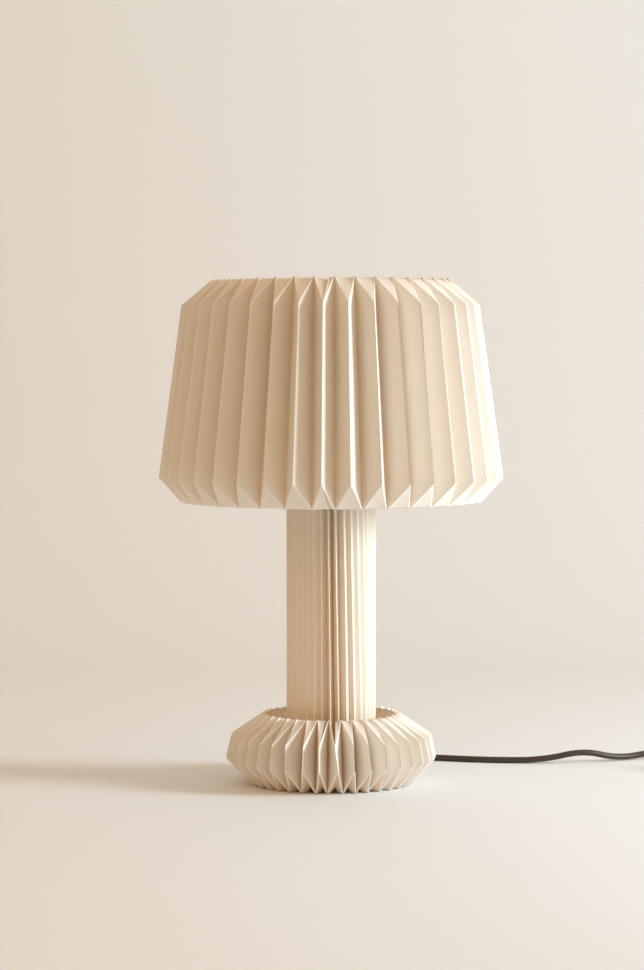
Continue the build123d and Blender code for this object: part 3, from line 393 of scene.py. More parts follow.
@dataclass(frozen=True)
class BoardFinish:
    """Grey-brown paperboard with recycled flecks."""

    name: str
    colour: Colour

    def material(self) -> Material:
        """Clouds and darker flecks on a soft fibre bump."""
        recipe = Recipe(self.name)
        clouds = recipe.noise(55.0, 4.0)
        flecks = recipe.noise((900.0, 500.0, 900.0), 2.0).ramp(0.62, 0.72)
        recipe.bump(clouds * 0.5 + flecks * 0.5, 0.05, 0.4)
        colour = recipe.blend(clouds, self.colour, toned(self.colour, 1.12))
        return recipe.set(
            Base_Color=recipe.blend(flecks * 0.5, colour, toned(self.colour, 0.6)),
            Roughness=0.88 - 0.05 * clouds,
        )


@dataclass(frozen=True)
class GlassFinish:
    """Clear blown glass."""

    name: str

    def material(self) -> Material:
        """Full transmission; only the wall's slight waves vary."""
        recipe = Recipe(self.name)
        waves = recipe.noise(45.0, 1.0)
        recipe.bump(waves, 0.08, 0.2)
        return recipe.set(
            Base_Color=(0.98, 0.98, 0.97),
            Roughness=0.02 + 0.02 * waves,
            Transmission_Weight=1.0,
            IOR=1.46,
        )


@dataclass(frozen=True)
class FlexFinish:
    """A smooth round cord jacket, satin, with the faint lay of its cores."""

    name: str
    colour: Colour

    def material(self) -> Material:
        """A faint helix in the bump, dust and shine in patches."""
        recipe = Recipe(self.name)
        uv = recipe.node("ShaderNodeTexCoord", output="UV")
        helix = recipe.bands(uv, "DIAGONAL", 60.0, 0.4, 1.0)
        grain = recipe.noise(2200.0, 2.0)
        dust = recipe.noise(120.0, 4.0, 0.7).ramp(0.5, 0.8)
        recipe.bump(helix * 0.5 + grain * 0.5, 0.06, 0.35)
        return recipe.set(
            Base_Color=recipe.blend(dust * 0.5, self.colour, toned(self.colour, 1.9, 0.012)),
            Roughness=0.46 + 0.14 * dust,
            IOR=1.48,
        )


@dataclass(frozen=True)
class BackdropFinish:
    """Painted paper, seen only from its front."""

    name: str
    colour: Colour

    def material(self) -> Material:
        """Almost plain, with a trace of unevenness."""
        recipe = Recipe(self.name)
        recipe.one_sided()
        clouds = recipe.noise(3.0, 2.0)
        return recipe.set(
            Base_Color=recipe.blend(clouds, self.colour, toned(self.colour, 0.985)),
            Roughness=0.85,
            Specular_IOR_Level=0.15,
        )


class Finishes(Enum):
    """Every finish of the lamp and of the place that it stands in."""

    # Paper colours: each groove colour is painted shade deep in the pleats, warm like light bounced
    # between paper walls, and each fold colour is a painted highlight. The three skins are one paper: the
    # column's warmer sheet and orange groove are painted warm shade beneath the shade, and the foot's
    # paler sheet is painted light.
    PAPER = PaperFinish("folded_paper", (0.87, 0.815, 0.735), (0.91, 0.79, 0.64), (0.97, 0.95, 0.91))
    COLUMN_PAPER = PaperFinish(
        "column_paper", (0.89, 0.795, 0.665), (0.90, 0.48, 0.19), (0.98, 0.95, 0.88)
    )
    FOOT_PAPER = PaperFinish("foot_paper", (0.90, 0.85, 0.775), (0.92, 0.66, 0.41), (0.98, 0.96, 0.93))
    # The linings are the same paper's inside. The shade's paler lining is painted light for light coming
    # through the sheet. The foot's lining has painted light of its own, a steady emission for the same.
    FOOT_LINING = PaperFinish(
        "foot_inside", (0.93, 0.84, 0.72), (0.93, 0.84, 0.72), (0.97, 0.94, 0.88), painted_glow=0.10
    )
    LINING = PaperFinish("paper_inside", (0.95, 0.93, 0.88), (0.95, 0.93, 0.88), (0.97, 0.95, 0.91))
    BOARD = BoardFinish("paperboard", (0.55, 0.44, 0.32))
    FELT = FeltFinish("felt", (0.05, 0.045, 0.04))
    IRON = MetalFinish("cast_iron", (0.10, 0.10, 0.10), 0.6, (500.0, 500.0, 500.0))
    WOOD = WoodFinish("plywood", (0.62, 0.45, 0.28), (0.42, 0.27, 0.14))
    STEEL = MetalFinish("zinc_plated_steel", (0.62, 0.62, 0.60), 0.28)
    WIRE = CoatFinish(
        name="white_wire",
        colour=(0.78, 0.76, 0.72),
        rough=0.38,
        skin=(1400.0, 1.0),
        skin_mm=0.03,
        skin_strength=0.5,
        uneven=0.12,
        spots=(210.0, 3.0),
        spot_range=(0.55, 0.8),
        spot_share=0.7,
        spot_tone=0.82,
    )
    HOLDER = MouldedFinish("lamp_holder_plastic", (0.018, 0.017, 0.016), 0.42)
    STEATITE = CoatFinish("steatite", (0.78, 0.75, 0.68), 0.5)
    BRASS = MetalFinish("brass", (0.72, 0.52, 0.24), 0.3)
    CAP = MetalFinish("bulb_cap_metal", (0.66, 0.65, 0.62), 0.22, (300.0, 300.0, 900.0))
    VITRITE = CoatFinish("black_glass", (0.012, 0.012, 0.013), 0.12)
    GLASS = GlassFinish("bulb_glass")
    PHOSPHOR = CoatFinish(
        name="filament_coat",
        colour=(0.85, 0.55, 0.10),
        rough=0.42,
        skin=(800.0, 2.0),
        skin_strength=0.4,
        uneven=0.1,
        spots=(800.0, 2.0),
        spot_range=(0.4, 0.7),
        spot_share=1.0,
        spot_tone=0.75,
    )
    LEAD = MouldedFinish("lead_insulation", (0.16, 0.08, 0.035), 0.4)
    FLEX = FlexFinish("cord_jacket", (0.030, 0.023, 0.018))
    FITTING = MouldedFinish("cord_fittings", (0.026, 0.020, 0.016), 0.40)
    ROCKER = MouldedFinish("rocker_plastic", (0.030, 0.023, 0.019), 0.22, 0.01)
    PIN = MetalFinish("nickel_pins", (0.74, 0.73, 0.70), 0.18)
    BACKDROP = BackdropFinish("backdrop", (0.89, 0.93, 0.97))

    def made(self) -> Material:
        """The material, made once."""
        return bpy.data.materials.get(self.value.name) or self.value.material()


# ---- meshes ----
def around(radius: Any, azimuth: Any, height: Any) -> Array:
    """Points at a radius, an azimuth in degrees and a height: r sin a, -r cos a, z."""
    angle = np.radians(azimuth)
    return np.stack(np.broadcast_arrays(radius * np.sin(angle), -radius * np.cos(angle), height), -1)


def grid_faces(rows: int, columns: int, wrap: bool = False) -> Array:
    """Quads of a grid of rows by columns points, numbered along the columns first.

    Args:
        rows: number of rows.
        columns: number of points in a row.
        wrap: whether the last column joins the first.

    Returns:
        An array of four vertex numbers for each quad.
    """
    row = np.arange(rows - 1)[:, None] * columns
    column = np.arange(columns if wrap else columns - 1)[None, :]
    after = (column + 1) % columns
    above = row + columns
    return np.stack([row + column, row + after, above + after, above + column], -1).reshape(-1, 4)


def placed(name: str, data: bpy.types.ID) -> Object:
    """An object in the scene that shows a mesh, a curve, a light or a camera."""
    made = bpy.data.objects.new(name, data)
    bpy.context.scene.collection.objects.link(made)
    return made


def mesh_object(name: str, points: Array, faces: Array, finish: Finishes) -> Object:
    """An object at the origin from points in millimetres and faces, smooth shaded."""
    mesh = bpy.data.meshes.new(name)
    mesh.from_pydata((points.reshape(-1, 3) * MM).tolist(), [], faces.tolist())
    mesh.shade_smooth()
    mesh.materials.append(finish.made())
    return placed(name, mesh)


def weld(piece: Object, closed: bool = False, reach_mm: float = 0.002) -> None:
    """Join the points of a mesh that lie together; turn a closed mesh's faces outwards."""
    work = bmesh.new()
    work.from_mesh(piece.data)
    bmesh.ops.remove_doubles(work, verts=work.verts, dist=reach_mm * MM)
    if closed:
        bmesh.ops.recalc_face_normals(work, faces=work.faces)
    work.to_mesh(piece.data)
    work.free()


def crease(piece: Object, degrees: float) -> None:
    """Keep the edges sharp at which a mesh bends by more than degrees."""
    piece.data.set_sharp_from_angle(angle=math.radians(degrees))


def mark(piece: Object, name: str, values: Array) -> None:
    """Store a value for each point of a mesh."""
    layer = piece.data.attributes.new(name, "FLOAT", "POINT")
    layer.data.foreach_set("value", np.asarray(values, np.float32).ravel())


def thicken(piece: Object, thickness_mm: float) -> None:
    """Give a sheet its thickness, inwards; a second material lines its inside."""
    shell = piece.modifiers.new("thickness", "SOLIDIFY")
    shell.material_offset = len(piece.data.materials) - 1
    shell.thickness = thickness_mm * MM
    shell.offset = -1.0
    shell.use_even_offset = False


def turned(
    name: str,
    profile: Sequence[Spot],
    finish: Finishes,
    segments: int = 96,
    ripple: Any = 0.0,
) -> Object:
    """A closed surface of revolution about the lamp's axis.

    Each profile point (r, z) goes round the axis: x = (r + ripple) sin a, y = -(r + ripple) cos a.

    Args:
        name: the piece's name.
        profile: radius and height, a closed loop, or from axis to axis.
        finish: its finish.
        segments: points round the axis.
        ripple: what to add to the radii, a value or an array of shape (points, segments).

    Returns:
        The object.
    """
    line = np.array(profile, float)
    angles = np.arange(segments) * 360.0 / segments
    radii = np.repeat(line[:, :1], segments, 1) + ripple
    points = around(radii, angles[None, :], line[:, 1:2])
    piece = mesh_object(name, points, grid_faces(len(line), segments, wrap=True), finish)
    weld(piece, closed=True)
    return piece


def rounded(corners: Sequence[Point], steps: int = 5) -> list[Spot]:
    """A profile through corners (r, z, round) with each corner cut by a quadratic curve.

    The curve starts and ends at the distance round from the corner: p = (1-t)^2 a + 2t(1-t) c
    + t^2 b. A corner whose round is 0 stays sharp. The first and last corners stay.
    """
    line: list[Spot] = [corners[0][:2]]
    for before, corner, after in zip(corners, corners[1:], corners[2:]):
        middle = np.array(corner[:2])
        if corner[2] == 0:
            line.append(tuple(middle))
            continue
        ways = [np.array(other[:2]) - middle for other in (before, after)]
        start, end = (middle + way / np.linalg.norm(way) * corner[2] for way in ways)
        for t in np.linspace(0.0, 1.0, steps):
            line.append(tuple((1 - t) ** 2 * start + 2 * t * (1 - t) * middle + t * t * end))
    line.append(corners[-1][:2])
    return line


def smooth_copy(node: str, name: str, finish: Finishes, degrees: float = 35.0) -> Object:
    """A welded copy of a CAD node, smooth shaded except across edges sharper than degrees."""
    piece = placed(name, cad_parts[node].data.copy())
    weld(piece)
    piece.data.materials.clear()
    piece.data.materials.append(finish.made())
    piece.data.polygons.foreach_set("material_index", np.zeros(len(piece.data.polygons), np.int32))
    piece.data.shade_smooth()
    crease(piece, degrees)
    return piece


def keep(piece: Object, body: str, slot: str, *nodes: str) -> Object:
    """Let a piece ride on a body and stand for CAD nodes."""
    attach(piece, body)
    if nodes:
        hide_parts(*nodes)
    LOG.info("%s rides on %s for %s", piece.name, body, ", ".join(nodes) or "nothing")
    return piece


# ---- folded paper ----
PLEATS = 38
PITCH = 360.0 / PLEATS
PAPER_MM = 0.45
# Width of a fold's strip, over which its smooth shading and its painted highlight fade.
FOLD_MM = 0.85


def panel_steps(count: int, edge: float) -> Array:
    """Parameters from 0 to 1 with a narrow strip at each end and count even steps between."""
    return np.concatenate([[0.0], np.linspace(edge, 1.0 - edge, count + 1), [1.0]])


def flat_normals(first: Array, second: Array) -> Array:
    """Unit vectors across two directions."""
    normal = np.cross(first, second)
    return normal / np.linalg.norm(normal, axis=-1, keepdims=True)


@dataclass(frozen=True)
class Flap:
    """One facet of a rim, or a part of one beside the glued seam.

    Fields:
        pleat: the pleat that it closes.
        start, end: where it starts and ends across the facet, from -1 to 1.
        tuck: how far its free edge is bent in.
    """

    pleat: int
    start: float = -1.0
    end: float = 1.0
    tuck: float = 0.0

    def free_end(self) -> float:
        """1 where the end is free, 0 where the start is."""
        return float(self.end < 1.0)


@dataclass(frozen=True)
class Web:
    """The triangular facets that close the pleats at one rim.

    Fields:
        dish: how far the middle of the rim edge is drawn in.
        crown: how far the middle of the facet stands out.
        lip: how far the rim edge turns over, inwards.
        creased: whether the facet has a fold down its middle, drawn in level.
        seam: the facets beside the seam, in parts.
    """

    dish: float
    crown: float
    lip: float = 0.0
    creased: bool = False
    seam: tuple[Flap, ...] = ()

    def flaps(self) -> list[Flap]:
        """The seam's parts and one whole facet for every other pleat."""
        parted = {flap.pleat for flap in self.seam}
        return [*self.seam, *(Flap(pleat) for pleat in range(PLEATS) if pleat not in parted)]


@dataclass
class FoldedSkin:
    """A ring of folded paper: ridges from hem to shoulder, valleys from sole to rim.

    Fields:
        turn: azimuth of the first ridge.
        rim, shoulder, hem, sole: radius and height of a pleat's corners.
        upper, lower: the facets at the two rims.
        finish, lining: the paper's outside and inside.
        stray_deg, stray_mm: how far corners stray from their places.
        bow_mm: how far the panels bow.
        steps: steps across a panel, along it, and over a facet between its two edges.
        edge_share: the width of such an edge.
    """

    name: str
    node: str
    body: str
    turn: float
    rim: Spot
    shoulder: Spot
    hem: Spot
    sole: Spot
    upper: Web
    lower: Web
    finish: Finishes
    lining: Finishes
    seed: int
    stray_deg: float = 0.22
    stray_mm: float = 0.35
    bow_mm: float = 0.9
    steps: tuple[int, int, int] = (6, 10, 8)
    edge_share: float = 0.06

    def __post_init__(self) -> None:
        """Space the points across and along a panel, and over a facet from -1 to 1."""
        length = math.dist(self.shoulder, self.hem)
        width = self.shoulder[0] - (self.rim[0] + self.sole[0]) / 2.0
        self.across = panel_steps(self.steps[0], FOLD_MM / width)
        self.along = panel_steps(self.steps[1], FOLD_MM / length)
        self.over = 2.0 * panel_steps(self.steps[2], self.edge_share) - 1.0

    def corner(self, place: Spot, azimuths: Array, chance: Chance) -> Array:
        """A corner of every pleat, each a little off its place."""
        count = len(azimuths)
        radius = place[0] - abs(chance.normal(0.0, self.stray_mm, count))
        azimuth = azimuths + chance.normal(0.0, self.stray_deg, count)
        return around(radius, azimuth, np.full(count, place[1]))

    def corners(self) -> dict[str, Array]:
        """All corners by name, one row for each pleat."""
        chance = np.random.default_rng(self.seed)
        ridges = self.turn + np.arange(PLEATS) * PITCH
        valleys = ridges + PITCH / 2
        return {
            "shoulder": self.corner(self.shoulder, ridges, chance),
            "hem": self.corner(self.hem, ridges, chance),
            "top": self.corner(self.rim, valleys, chance),
            "low": self.corner(self.sole, valleys, chance),
        }

    def side(self, at: dict[str, Array], step: int, bows: Array) -> tuple[Array, Array, Array]:
        """The long panels on one side of every ridge.

        A panel is ruled between its valley and its ridge, P = (1-u) V(v) + u R(v), and bowed
        by b sin(pi u) (0.3 + 0.7 sin(pi v)) along its normal.

        Args:
            at: the corners.
            step: 0 for the valley after the ridge, 1 for the one before it.
            bows: the bow of each panel.

        Returns:
            Points of shape (pleats, u, v, 3), and depth and fold values: these set the painted shade of
            the valleys and the painted highlight along the folds.
        """
        u = self.across[None, :, None, None]
        v = self.along[None, None, :, None]
        low, top = (np.roll(at[key], step, 0)[:, None, None] for key in ("low", "top"))
        hem, shoulder = (at[key][:, None, None] for key in ("hem", "shoulder"))
        valley = low + (top - low) * v
        ridge = hem + (shoulder - hem) * v
        points = valley + (ridge - valley) * u
        normal = flat_normals(ridge - valley, (top - low) + (shoulder - hem)) * (1 if step == 0 else -1)
        bow = bows[:, None, None, None] * np.sin(np.pi * u) * (0.3 + 0.7 * np.sin(np.pi * v))
        points = points - normal * bow
        # Depth runs from 0 at the valley to 1 at the ridge: painted shade where it is low.
        depth = np.broadcast_to(u[..., 0], points.shape[:3])
        # Fold marks the ridge and the panel's two ends for a painted highlight.
        fold = np.maximum(u[..., 0] >= 1.0, (v[..., 0] <= 0.0) | (v[..., 0] >= 1.0))
        return points, depth, np.broadcast_to(fold, points.shape[:3]).astype(float)

    def web(self, at: dict[str, Array], tip: str, rim: str, shape: Web) -> tuple[Array, Array, Array]:
        """The facets at one rim.

        From its tip A a facet spreads to the rim B, P = A + t (B(s) - A), and stands out by
        4 crown t (1-t) (1-s^2) - lip t^6. Its rim is drawn in by dish t (1-s^2) along its
        normal, or by dish t (1-|s|) towards the lamp's axis where it has a fold down its
        middle, and a free edge by tuck t q^2, with q from 0 to 1 across the flap.

        Args:
            at: the corners.
            tip, rim: names of the corners at the tip and at the rim.
            shape: the facets' form.

        Returns:
            Points of shape (flaps, s, t, 3), and depth and fold values: these set the painted shade and
            the painted highlight.
        """
        flaps = shape.flaps()
        pleats = [flap.pleat for flap in flaps]
        start, end, tuck, free = (
            np.array(values)[:, None, None, None]
            for values in zip(*((flap.start, flap.end, flap.tuck, flap.free_end()) for flap in flaps))
        )
        share = (self.over[None, :, None, None] + 1.0) / 2.0
        s = start + (end - start) * share
        t = (1.0 - self.across)[None, None, ::-1, None]
        apex = at[tip][pleats][:, None, None]
        left, right = np.roll(at[rim], 1, 0)[pleats][:, None, None], at[rim][pleats][:, None, None]
        base = left + (right - left) * (s + 1.0) / 2.0
        middle = (left + right) / 2.0 - apex
        normal = flat_normals(right - left, middle) * (1.0 if tip == "shoulder" else -1.0)
        level = apex * [1.0, 1.0, 0.0] / np.linalg.norm(apex[..., :2], axis=-1, keepdims=True)
        points = apex + t * (base - apex) + normal * 4.0 * shape.crown * t * (1.0 - t) * (1.0 - s**2)
        points = points - normal * shape.lip * t**6
        if shape.creased:
            points = points - level * shape.dish * t * (1.0 - np.abs(s))
        else:
            points = points - normal * shape.dish * t * (1.0 - s**2)
        points = points - normal * tuck * t * np.abs(1.0 - free - share) ** 2
        # Fold marks the flap's edges and its rim for a painted highlight. On a creased facet, depth sets
        # painted shade down the middle fold; a plain facet gets none.
        fold = np.maximum((share <= 0.0) | (share >= 1.0), t >= 1.0)[..., 0]
        depth = 0.3 * s[..., 0] ** 2 if shape.creased else 1.0
        grid = points.shape[:3]
        return points, np.broadcast_to(depth, grid), np.broadcast_to(fold, grid).astype(float)

    def build(self) -> Object:
        """Panels and facets in one sheet, thickened inwards."""
        at = self.corners()
        chance = np.random.default_rng(self.seed + 1)
        patches = []
        for step in (0, 1):
            bows = self.bow_mm * chance.uniform(0.2, 1.0, PLEATS)
            patches.append((*self.side(at, step, bows), step == 1))
        patches.append((*self.web(at, "shoulder", "top", self.upper), True))
        patches.append((*self.web(at, "hem", "low", self.lower), False))
        points, faces, depths, folds, first = [], [], [], [], 0
        for grid, depth, fold, flip in patches:
            pleats, rows, columns = grid.shape[:3]
            quads = grid_faces(rows, columns)
            quads = quads[:, ::-1] if flip else quads
            starts = first + np.arange(pleats)[:, None, None] * rows * columns
            faces.append((quads[None] + starts).reshape(-1, 4))
            points.append(grid.reshape(-1, 3))
            depths.append(depth.ravel())
            folds.append(fold.ravel())
            first += pleats * rows * columns
        piece = mesh_object(self.name, np.concatenate(points), np.concatenate(faces), self.finish)
        # Painted shade by depth and painted highlight by fold, read by the paper's finish.
        mark(piece, "depth", np.concatenate(depths))
        mark(piece, "fold", np.concatenate(folds))
        weld(piece)
        piece.data.materials.append(self.lining.made())
        thicken(piece, PAPER_MM)
        return keep(piece, self.body, "paper", self.node)


@dataclass
class PleatedColumn:
    """The column's paper: narrow upright pleats that lean a little.

    Fields:
        low, high: heights of its ends.
        ridge_r: radius of its ridges.
        valley_r: radius of its valleys where the pleats are pressed together.
        open_depth: how much deeper they are at the front, where they stand open.
        open_azimuth, open_width: the middle of that place and its width, in degrees.
        turn: azimuth of the first ridge at the top.
        lean_deg, lean_swing_deg: how far the folds turn on their way down, and how that varies.
        stray_deg, stray_mm: how far a fold stands off its place, and inside its radius.
        sway_deg, sway_mm, sway_waves: how far it sways, how far out it moves for a degree of
            that, and the half waves in its height.
        bow_mm: how far a panel bows.
        steps, edge_share: steps across a panel between its two edges, and their width.
        levels: points in a fold.
    """

    low: float = 11.0
    high: float = 256.0
    ridge_r: float = 38.4
    valley_r: float = 37.1
    open_depth: float = 7.3
    open_azimuth: float = 1.0
    open_width: float = 17.0
    turn: float = -3.8
    seed: int = 5
    lean_deg: float = 4.5
    lean_swing_deg: float = 3.5
    stray_deg: float = 0.55
    sway_deg: float = 0.3
    stray_mm: float = 0.25
    sway_mm: float = 0.12
    sway_waves: float = 1.5
    bow_mm: float = 0.2
    steps: int = 4
    edge_share: float = 0.1
    levels: int = 25

    def lean(self, azimuth: Array) -> Array:
        """How far a fold has turned at the foot, in degrees: mean + swing sin 2a."""
        return self.lean_deg + self.lean_swing_deg * np.sin(2.0 * np.radians(azimuth))

    def valley_radii(self, azimuths: Array) -> Array:
        """The valleys' radii: deeper by open_depth exp(-(a / width)^2) about the open place."""
        away = (azimuths - self.open_azimuth + 180.0) % 360.0 - 180.0
        return self.valley_r - self.open_depth * np.exp(-((away / self.open_width) ** 2))

    def folds(self, azimuths: Array, radii: Array, rise: Array, chance: Chance) -> Array:
        """The line of each fold: a lean, a slow sway and a stray place, over the heights."""
        one_each = (len(azimuths), 1)
        stray = chance.normal(0.0, self.stray_deg, one_each)
        sway = chance.normal(0.0, self.sway_deg, one_each)
        sway = sway * np.sin(np.pi * rise * self.sway_waves + chance.uniform(0, 6, one_each))
        azimuth = azimuths[:, None] + stray + self.lean(azimuths)[:, None] * (1.0 - rise) + sway
        inside = np.abs(chance.normal(0.0, self.stray_mm, one_each))
        radius = radii[:, None] - inside + self.sway_mm * sway
        return around(radius, azimuth, self.low + (self.high - self.low) * rise)

    def build(self) -> Object:
        """Panels between the folds, P = (1-u) A(z) + u B(z), bowed by b sin(pi u)."""
        chance = np.random.default_rng(self.seed)
        rise = np.linspace(0.0, 1.0, self.levels)[None, :]
        ridges = self.turn + np.arange(PLEATS) * PITCH
        valleys = ridges + PITCH / 2
        ridge = self.folds(ridges, np.full(PLEATS, self.ridge_r), rise, chance)
        valley = self.folds(valleys, self.valley_radii(valleys), rise, chance)
        u = panel_steps(self.steps, self.edge_share)
        bow = chance.uniform(0.0, self.bow_mm, (2, PLEATS, 1, 1, 1))
        lines = []
        for side, (start, end) in enumerate(((ridge, valley), (valley, np.roll(ridge, -1, 0)))):
            way = (end - start)[:, None]
            normal = flat_normals(way, np.broadcast_to([0.0, 0.0, 1.0], way.shape))
            shares = u[None, :-1, None, None]
            lines.append(start[:, None] + way * shares - normal * bow[side] * np.sin(np.pi * shares))
        rows = np.concatenate(lines, 1).reshape(-1, rise.size, 3)
        grid = rows.transpose(1, 0, 2)
        faces = grid_faces(rise.size, grid.shape[1], wrap=True)
        piece = mesh_object("column_paper", grid, faces, Finishes.COLUMN_PAPER)
        # Painted shade in the valleys, stronger where the pleats stand open, and a painted highlight along
        # the ridges.
        share = np.concatenate([1.0 - u[:-1], u[:-1]])
        opened = (self.valley_r - self.valley_radii(np.repeat(valleys, share.size))) / self.open_depth
        depth = 1.0 - (1.0 - np.tile(share, PLEATS)) * np.sqrt(opened)
        mark(piece, "depth", np.tile(depth, rise.size))
        mark(piece, "fold", np.tile(share >= 1.0, PLEATS * rise.size))
        thicken(piece, PAPER_MM)
        return keep(piece, "stand", "paper", "column_skin")


# ---- cord ----
@dataclass
class MainsCord:
    """The free cord from the bush behind the foot, through the switch, to the plug.

    Fields:
        bush_azimuth, bush_z, tip_x: the bush's axis, and how far out its tip is.
        coil_pitch, coil_lift: from one turn to the next, and between the two layers.
        inward_halves, climb_half: half turns that get narrower, and the one that climbs.
        points_per_half: control points in a half turn.
    """

    radius: float = 2.75
    bush_azimuth: float = -6.5 + 17.5 * PITCH
    bush_z: float = 8.0
    tip_x: float = 110.04
    coil_centre: Spot = (430.0, 105.0)
    coil_outer: float = 41.0
    coil_pitch: float = 6.0
    coil_z: float = 4.15
    coil_lift: float = 6.0
    inward_halves: int = 5
    climb_half: int = 6
    half_turns: int = 11
    points_per_half: int = 8
    switch_y: float = 146.0
    switch_z: float = 8.0

    def start(self, reach: float = 0.0) -> Point:
        """A point on the bush's axis, reach beyond its tip."""
        return tuple(around(self.tip_x + reach, self.bush_azimuth, self.bush_z).tolist())

    def coil(self) -> list[Point]:
        """The coil's turns: half turns that spiral in, a climb, and half turns that spiral out.

        Seen from above they run clockwise. The control points of an arc of n steps stand
        outside it by 1 / cos(pi / 2n).
        """
        middle_x, y = self.coil_centre[0], self.coil_centre[1] + self.coil_outer
        heading, radius, height = 1, self.coil_outer, self.coil_z
        steps = self.points_per_half
        out = 1.0 / math.cos(math.pi / (2 * steps))
        line = []
        for half in range(self.half_turns):
            lift = self.coil_lift if half == self.climb_half else 0.0
            centre = y - heading * radius
            arm = heading * radius * out
            for share in ((step + 0.5) / steps for step in range(steps)):
                x = middle_x + arm * math.sin(math.pi * share)
                line.append((x, centre + arm * math.cos(math.pi * share), height + lift * share))
            y -= heading * 2 * radius
            heading = -heading
            height += lift
            radius += np.sign(half - self.inward_halves) * self.coil_pitch / 2
        return line

    def route(self) -> list[Point]:
        """The control points, in millimetres, from the bush to the plug."""
        to_switch = [
            self.start(), self.start(15.0), (57.5, 130.0, 5.4), (77.0, 134.0, 3.1), (98.0, 129.5, 2.8),
            (118.0, 122.5, 2.8), (138.0, 117.5, 2.8), (159.0, 114.5, 2.8), (180.0, 113.0, 3.2),
            (200.0, 114.0, 5.4), (217.0, 116.5, 9.0), (233.0, 120.5, 9.0), (250.0, 127.0, 4.4),
            (265.0, 134.5, 2.9), (281.0, 142.0, 4.2),
        ]
        through = [(x, self.switch_y, self.switch_z) for x in (300.0, 320.0, 366.0, 386.0)]
        to_coil = [(410.0, self.switch_y, self.coil_z)]
        top = self.coil_z + self.coil_lift
        to_plug = [(412.0, 70.0, top + 0.2), (394.0, 69.5, 9.3), (375.0, 68.0, 7.2), (357.0, 68.0, 7.2)]
        return to_switch + through + to_coil + self.coil() + to_plug

    def build(self, fittings: Sequence[Object]) -> Object:
        """One curve through the route."""
        curve = bpy.data.curves.new("mains_cord", "CURVE")
        curve.dimensions = "3D"
        spline = curve.splines.new("NURBS")
        route = np.array(self.route()) * MM
        spline.points.add(len(route) - 1)
        spline.points.foreach_set("co", np.column_stack([route, np.ones(len(route))]).ravel())
        spline.order_u = 3
        spline.use_endpoint_u = True
        spline.resolution_u = 6
        curve.bevel_depth = self.radius * MM
        curve.bevel_resolution = 5
        curve.use_fill_caps = True
        curve.materials.append(Finishes.FLEX.made())
        piece = placed("mains_cord", curve)
        keep(piece, "stand", "cord_jacket", "cord_to_switch", "cord_to_coil", "cord_coil", "cord_to_plug")
        tuple(value * MM for value in self.start())
        return piece


@dataclass
class StrainRelief:
    """The cord's bush: flanges on both sides of the paper and a ribbed, tapering tail.

    Fields:
        inner_x, outer_x: where the inner and the outer flange touch the paper.
        flange, collar: radius and thickness of the inner and the outer flange.
        neck_r: radius between them.
        tail: where the ribs start after outer_x and end before the tip.
        crest_r, taper: radius of the first rib, and how much thinner the tail's end is.
        groove: depth between the ribs.
    """

    cord: MainsCord
    inner_x: float = 64.0
    outer_x: float = 81.04
    flange: Spot = (7.0, 2.0)
    collar: Spot = (6.0, 1.4)
    neck_r: float = 5.0
    tail: Spot = (2.6, 3.0)
    crest_r: float = 5.1
    taper: float = 1.2
    groove: float = 0.75
    ribs: int = 7
    segments: int = 40

    def profile(self) -> list[Spot]:
        """Radius against distance from the lamp's axis, round the cord's bore, as a loop."""
        tip = self.cord.tip_x
        bore = self.cord.radius + 0.1
        start, end = self.outer_x + self.tail[0], tip - self.tail[1]
        back = self.inner_x - self.flange[1]
        line = [(bore, back), (self.flange[0], back), (self.flange[0], self.inner_x)]
        line += [(self.neck_r, self.inner_x), (self.neck_r, self.outer_x), (self.collar[0], self.outer_x)]
        line += [(self.collar[0], self.outer_x + self.collar[1]), (5.2, self.outer_x + 2.0)]
        step = (end - start) / self.ribs
        for rib in range(self.ribs):
            x = start + rib * step
            crest = self.crest_r - self.taper * (x - start) / (end - start)
            radii = (crest, crest, crest - self.groove, crest - self.groove)
            line += [(radius, x + share * step) for radius, share in zip(radii, (0.0, 0.52, 0.66, 0.88))]
        return [*line, (3.85, end), (3.7, tip - 0.5), (3.3, tip), (bore, tip), line[0]]

    def build(self) -> Object:
        """Turn the profile round the bush's own axis."""
        line = np.array(self.profile())
        radii, reach = line[:, 0][:, None, None], line[:, 1][:, None, None]
        angle = np.arange(self.segments)[None, :, None] * 2 * np.pi / self.segments
        way, up = around(1.0, self.cord.bush_azimuth, 0.0), np.array([0.0, 0.0, 1.0])
        beside = np.array([-way[1], way[0], 0.0])
        centre = way * reach + up * self.cord.bush_z
        points = centre + radii * (beside * np.cos(angle) + up * np.sin(angle))
        faces = grid_faces(len(line), self.segments, wrap=True)
        piece = mesh_object("cord_relief", points, faces, Finishes.FITTING)
        weld(piece, closed=True)
        crease(piece, 40)
        return keep(piece, "stand", "cord_fittings", "cord_bush")


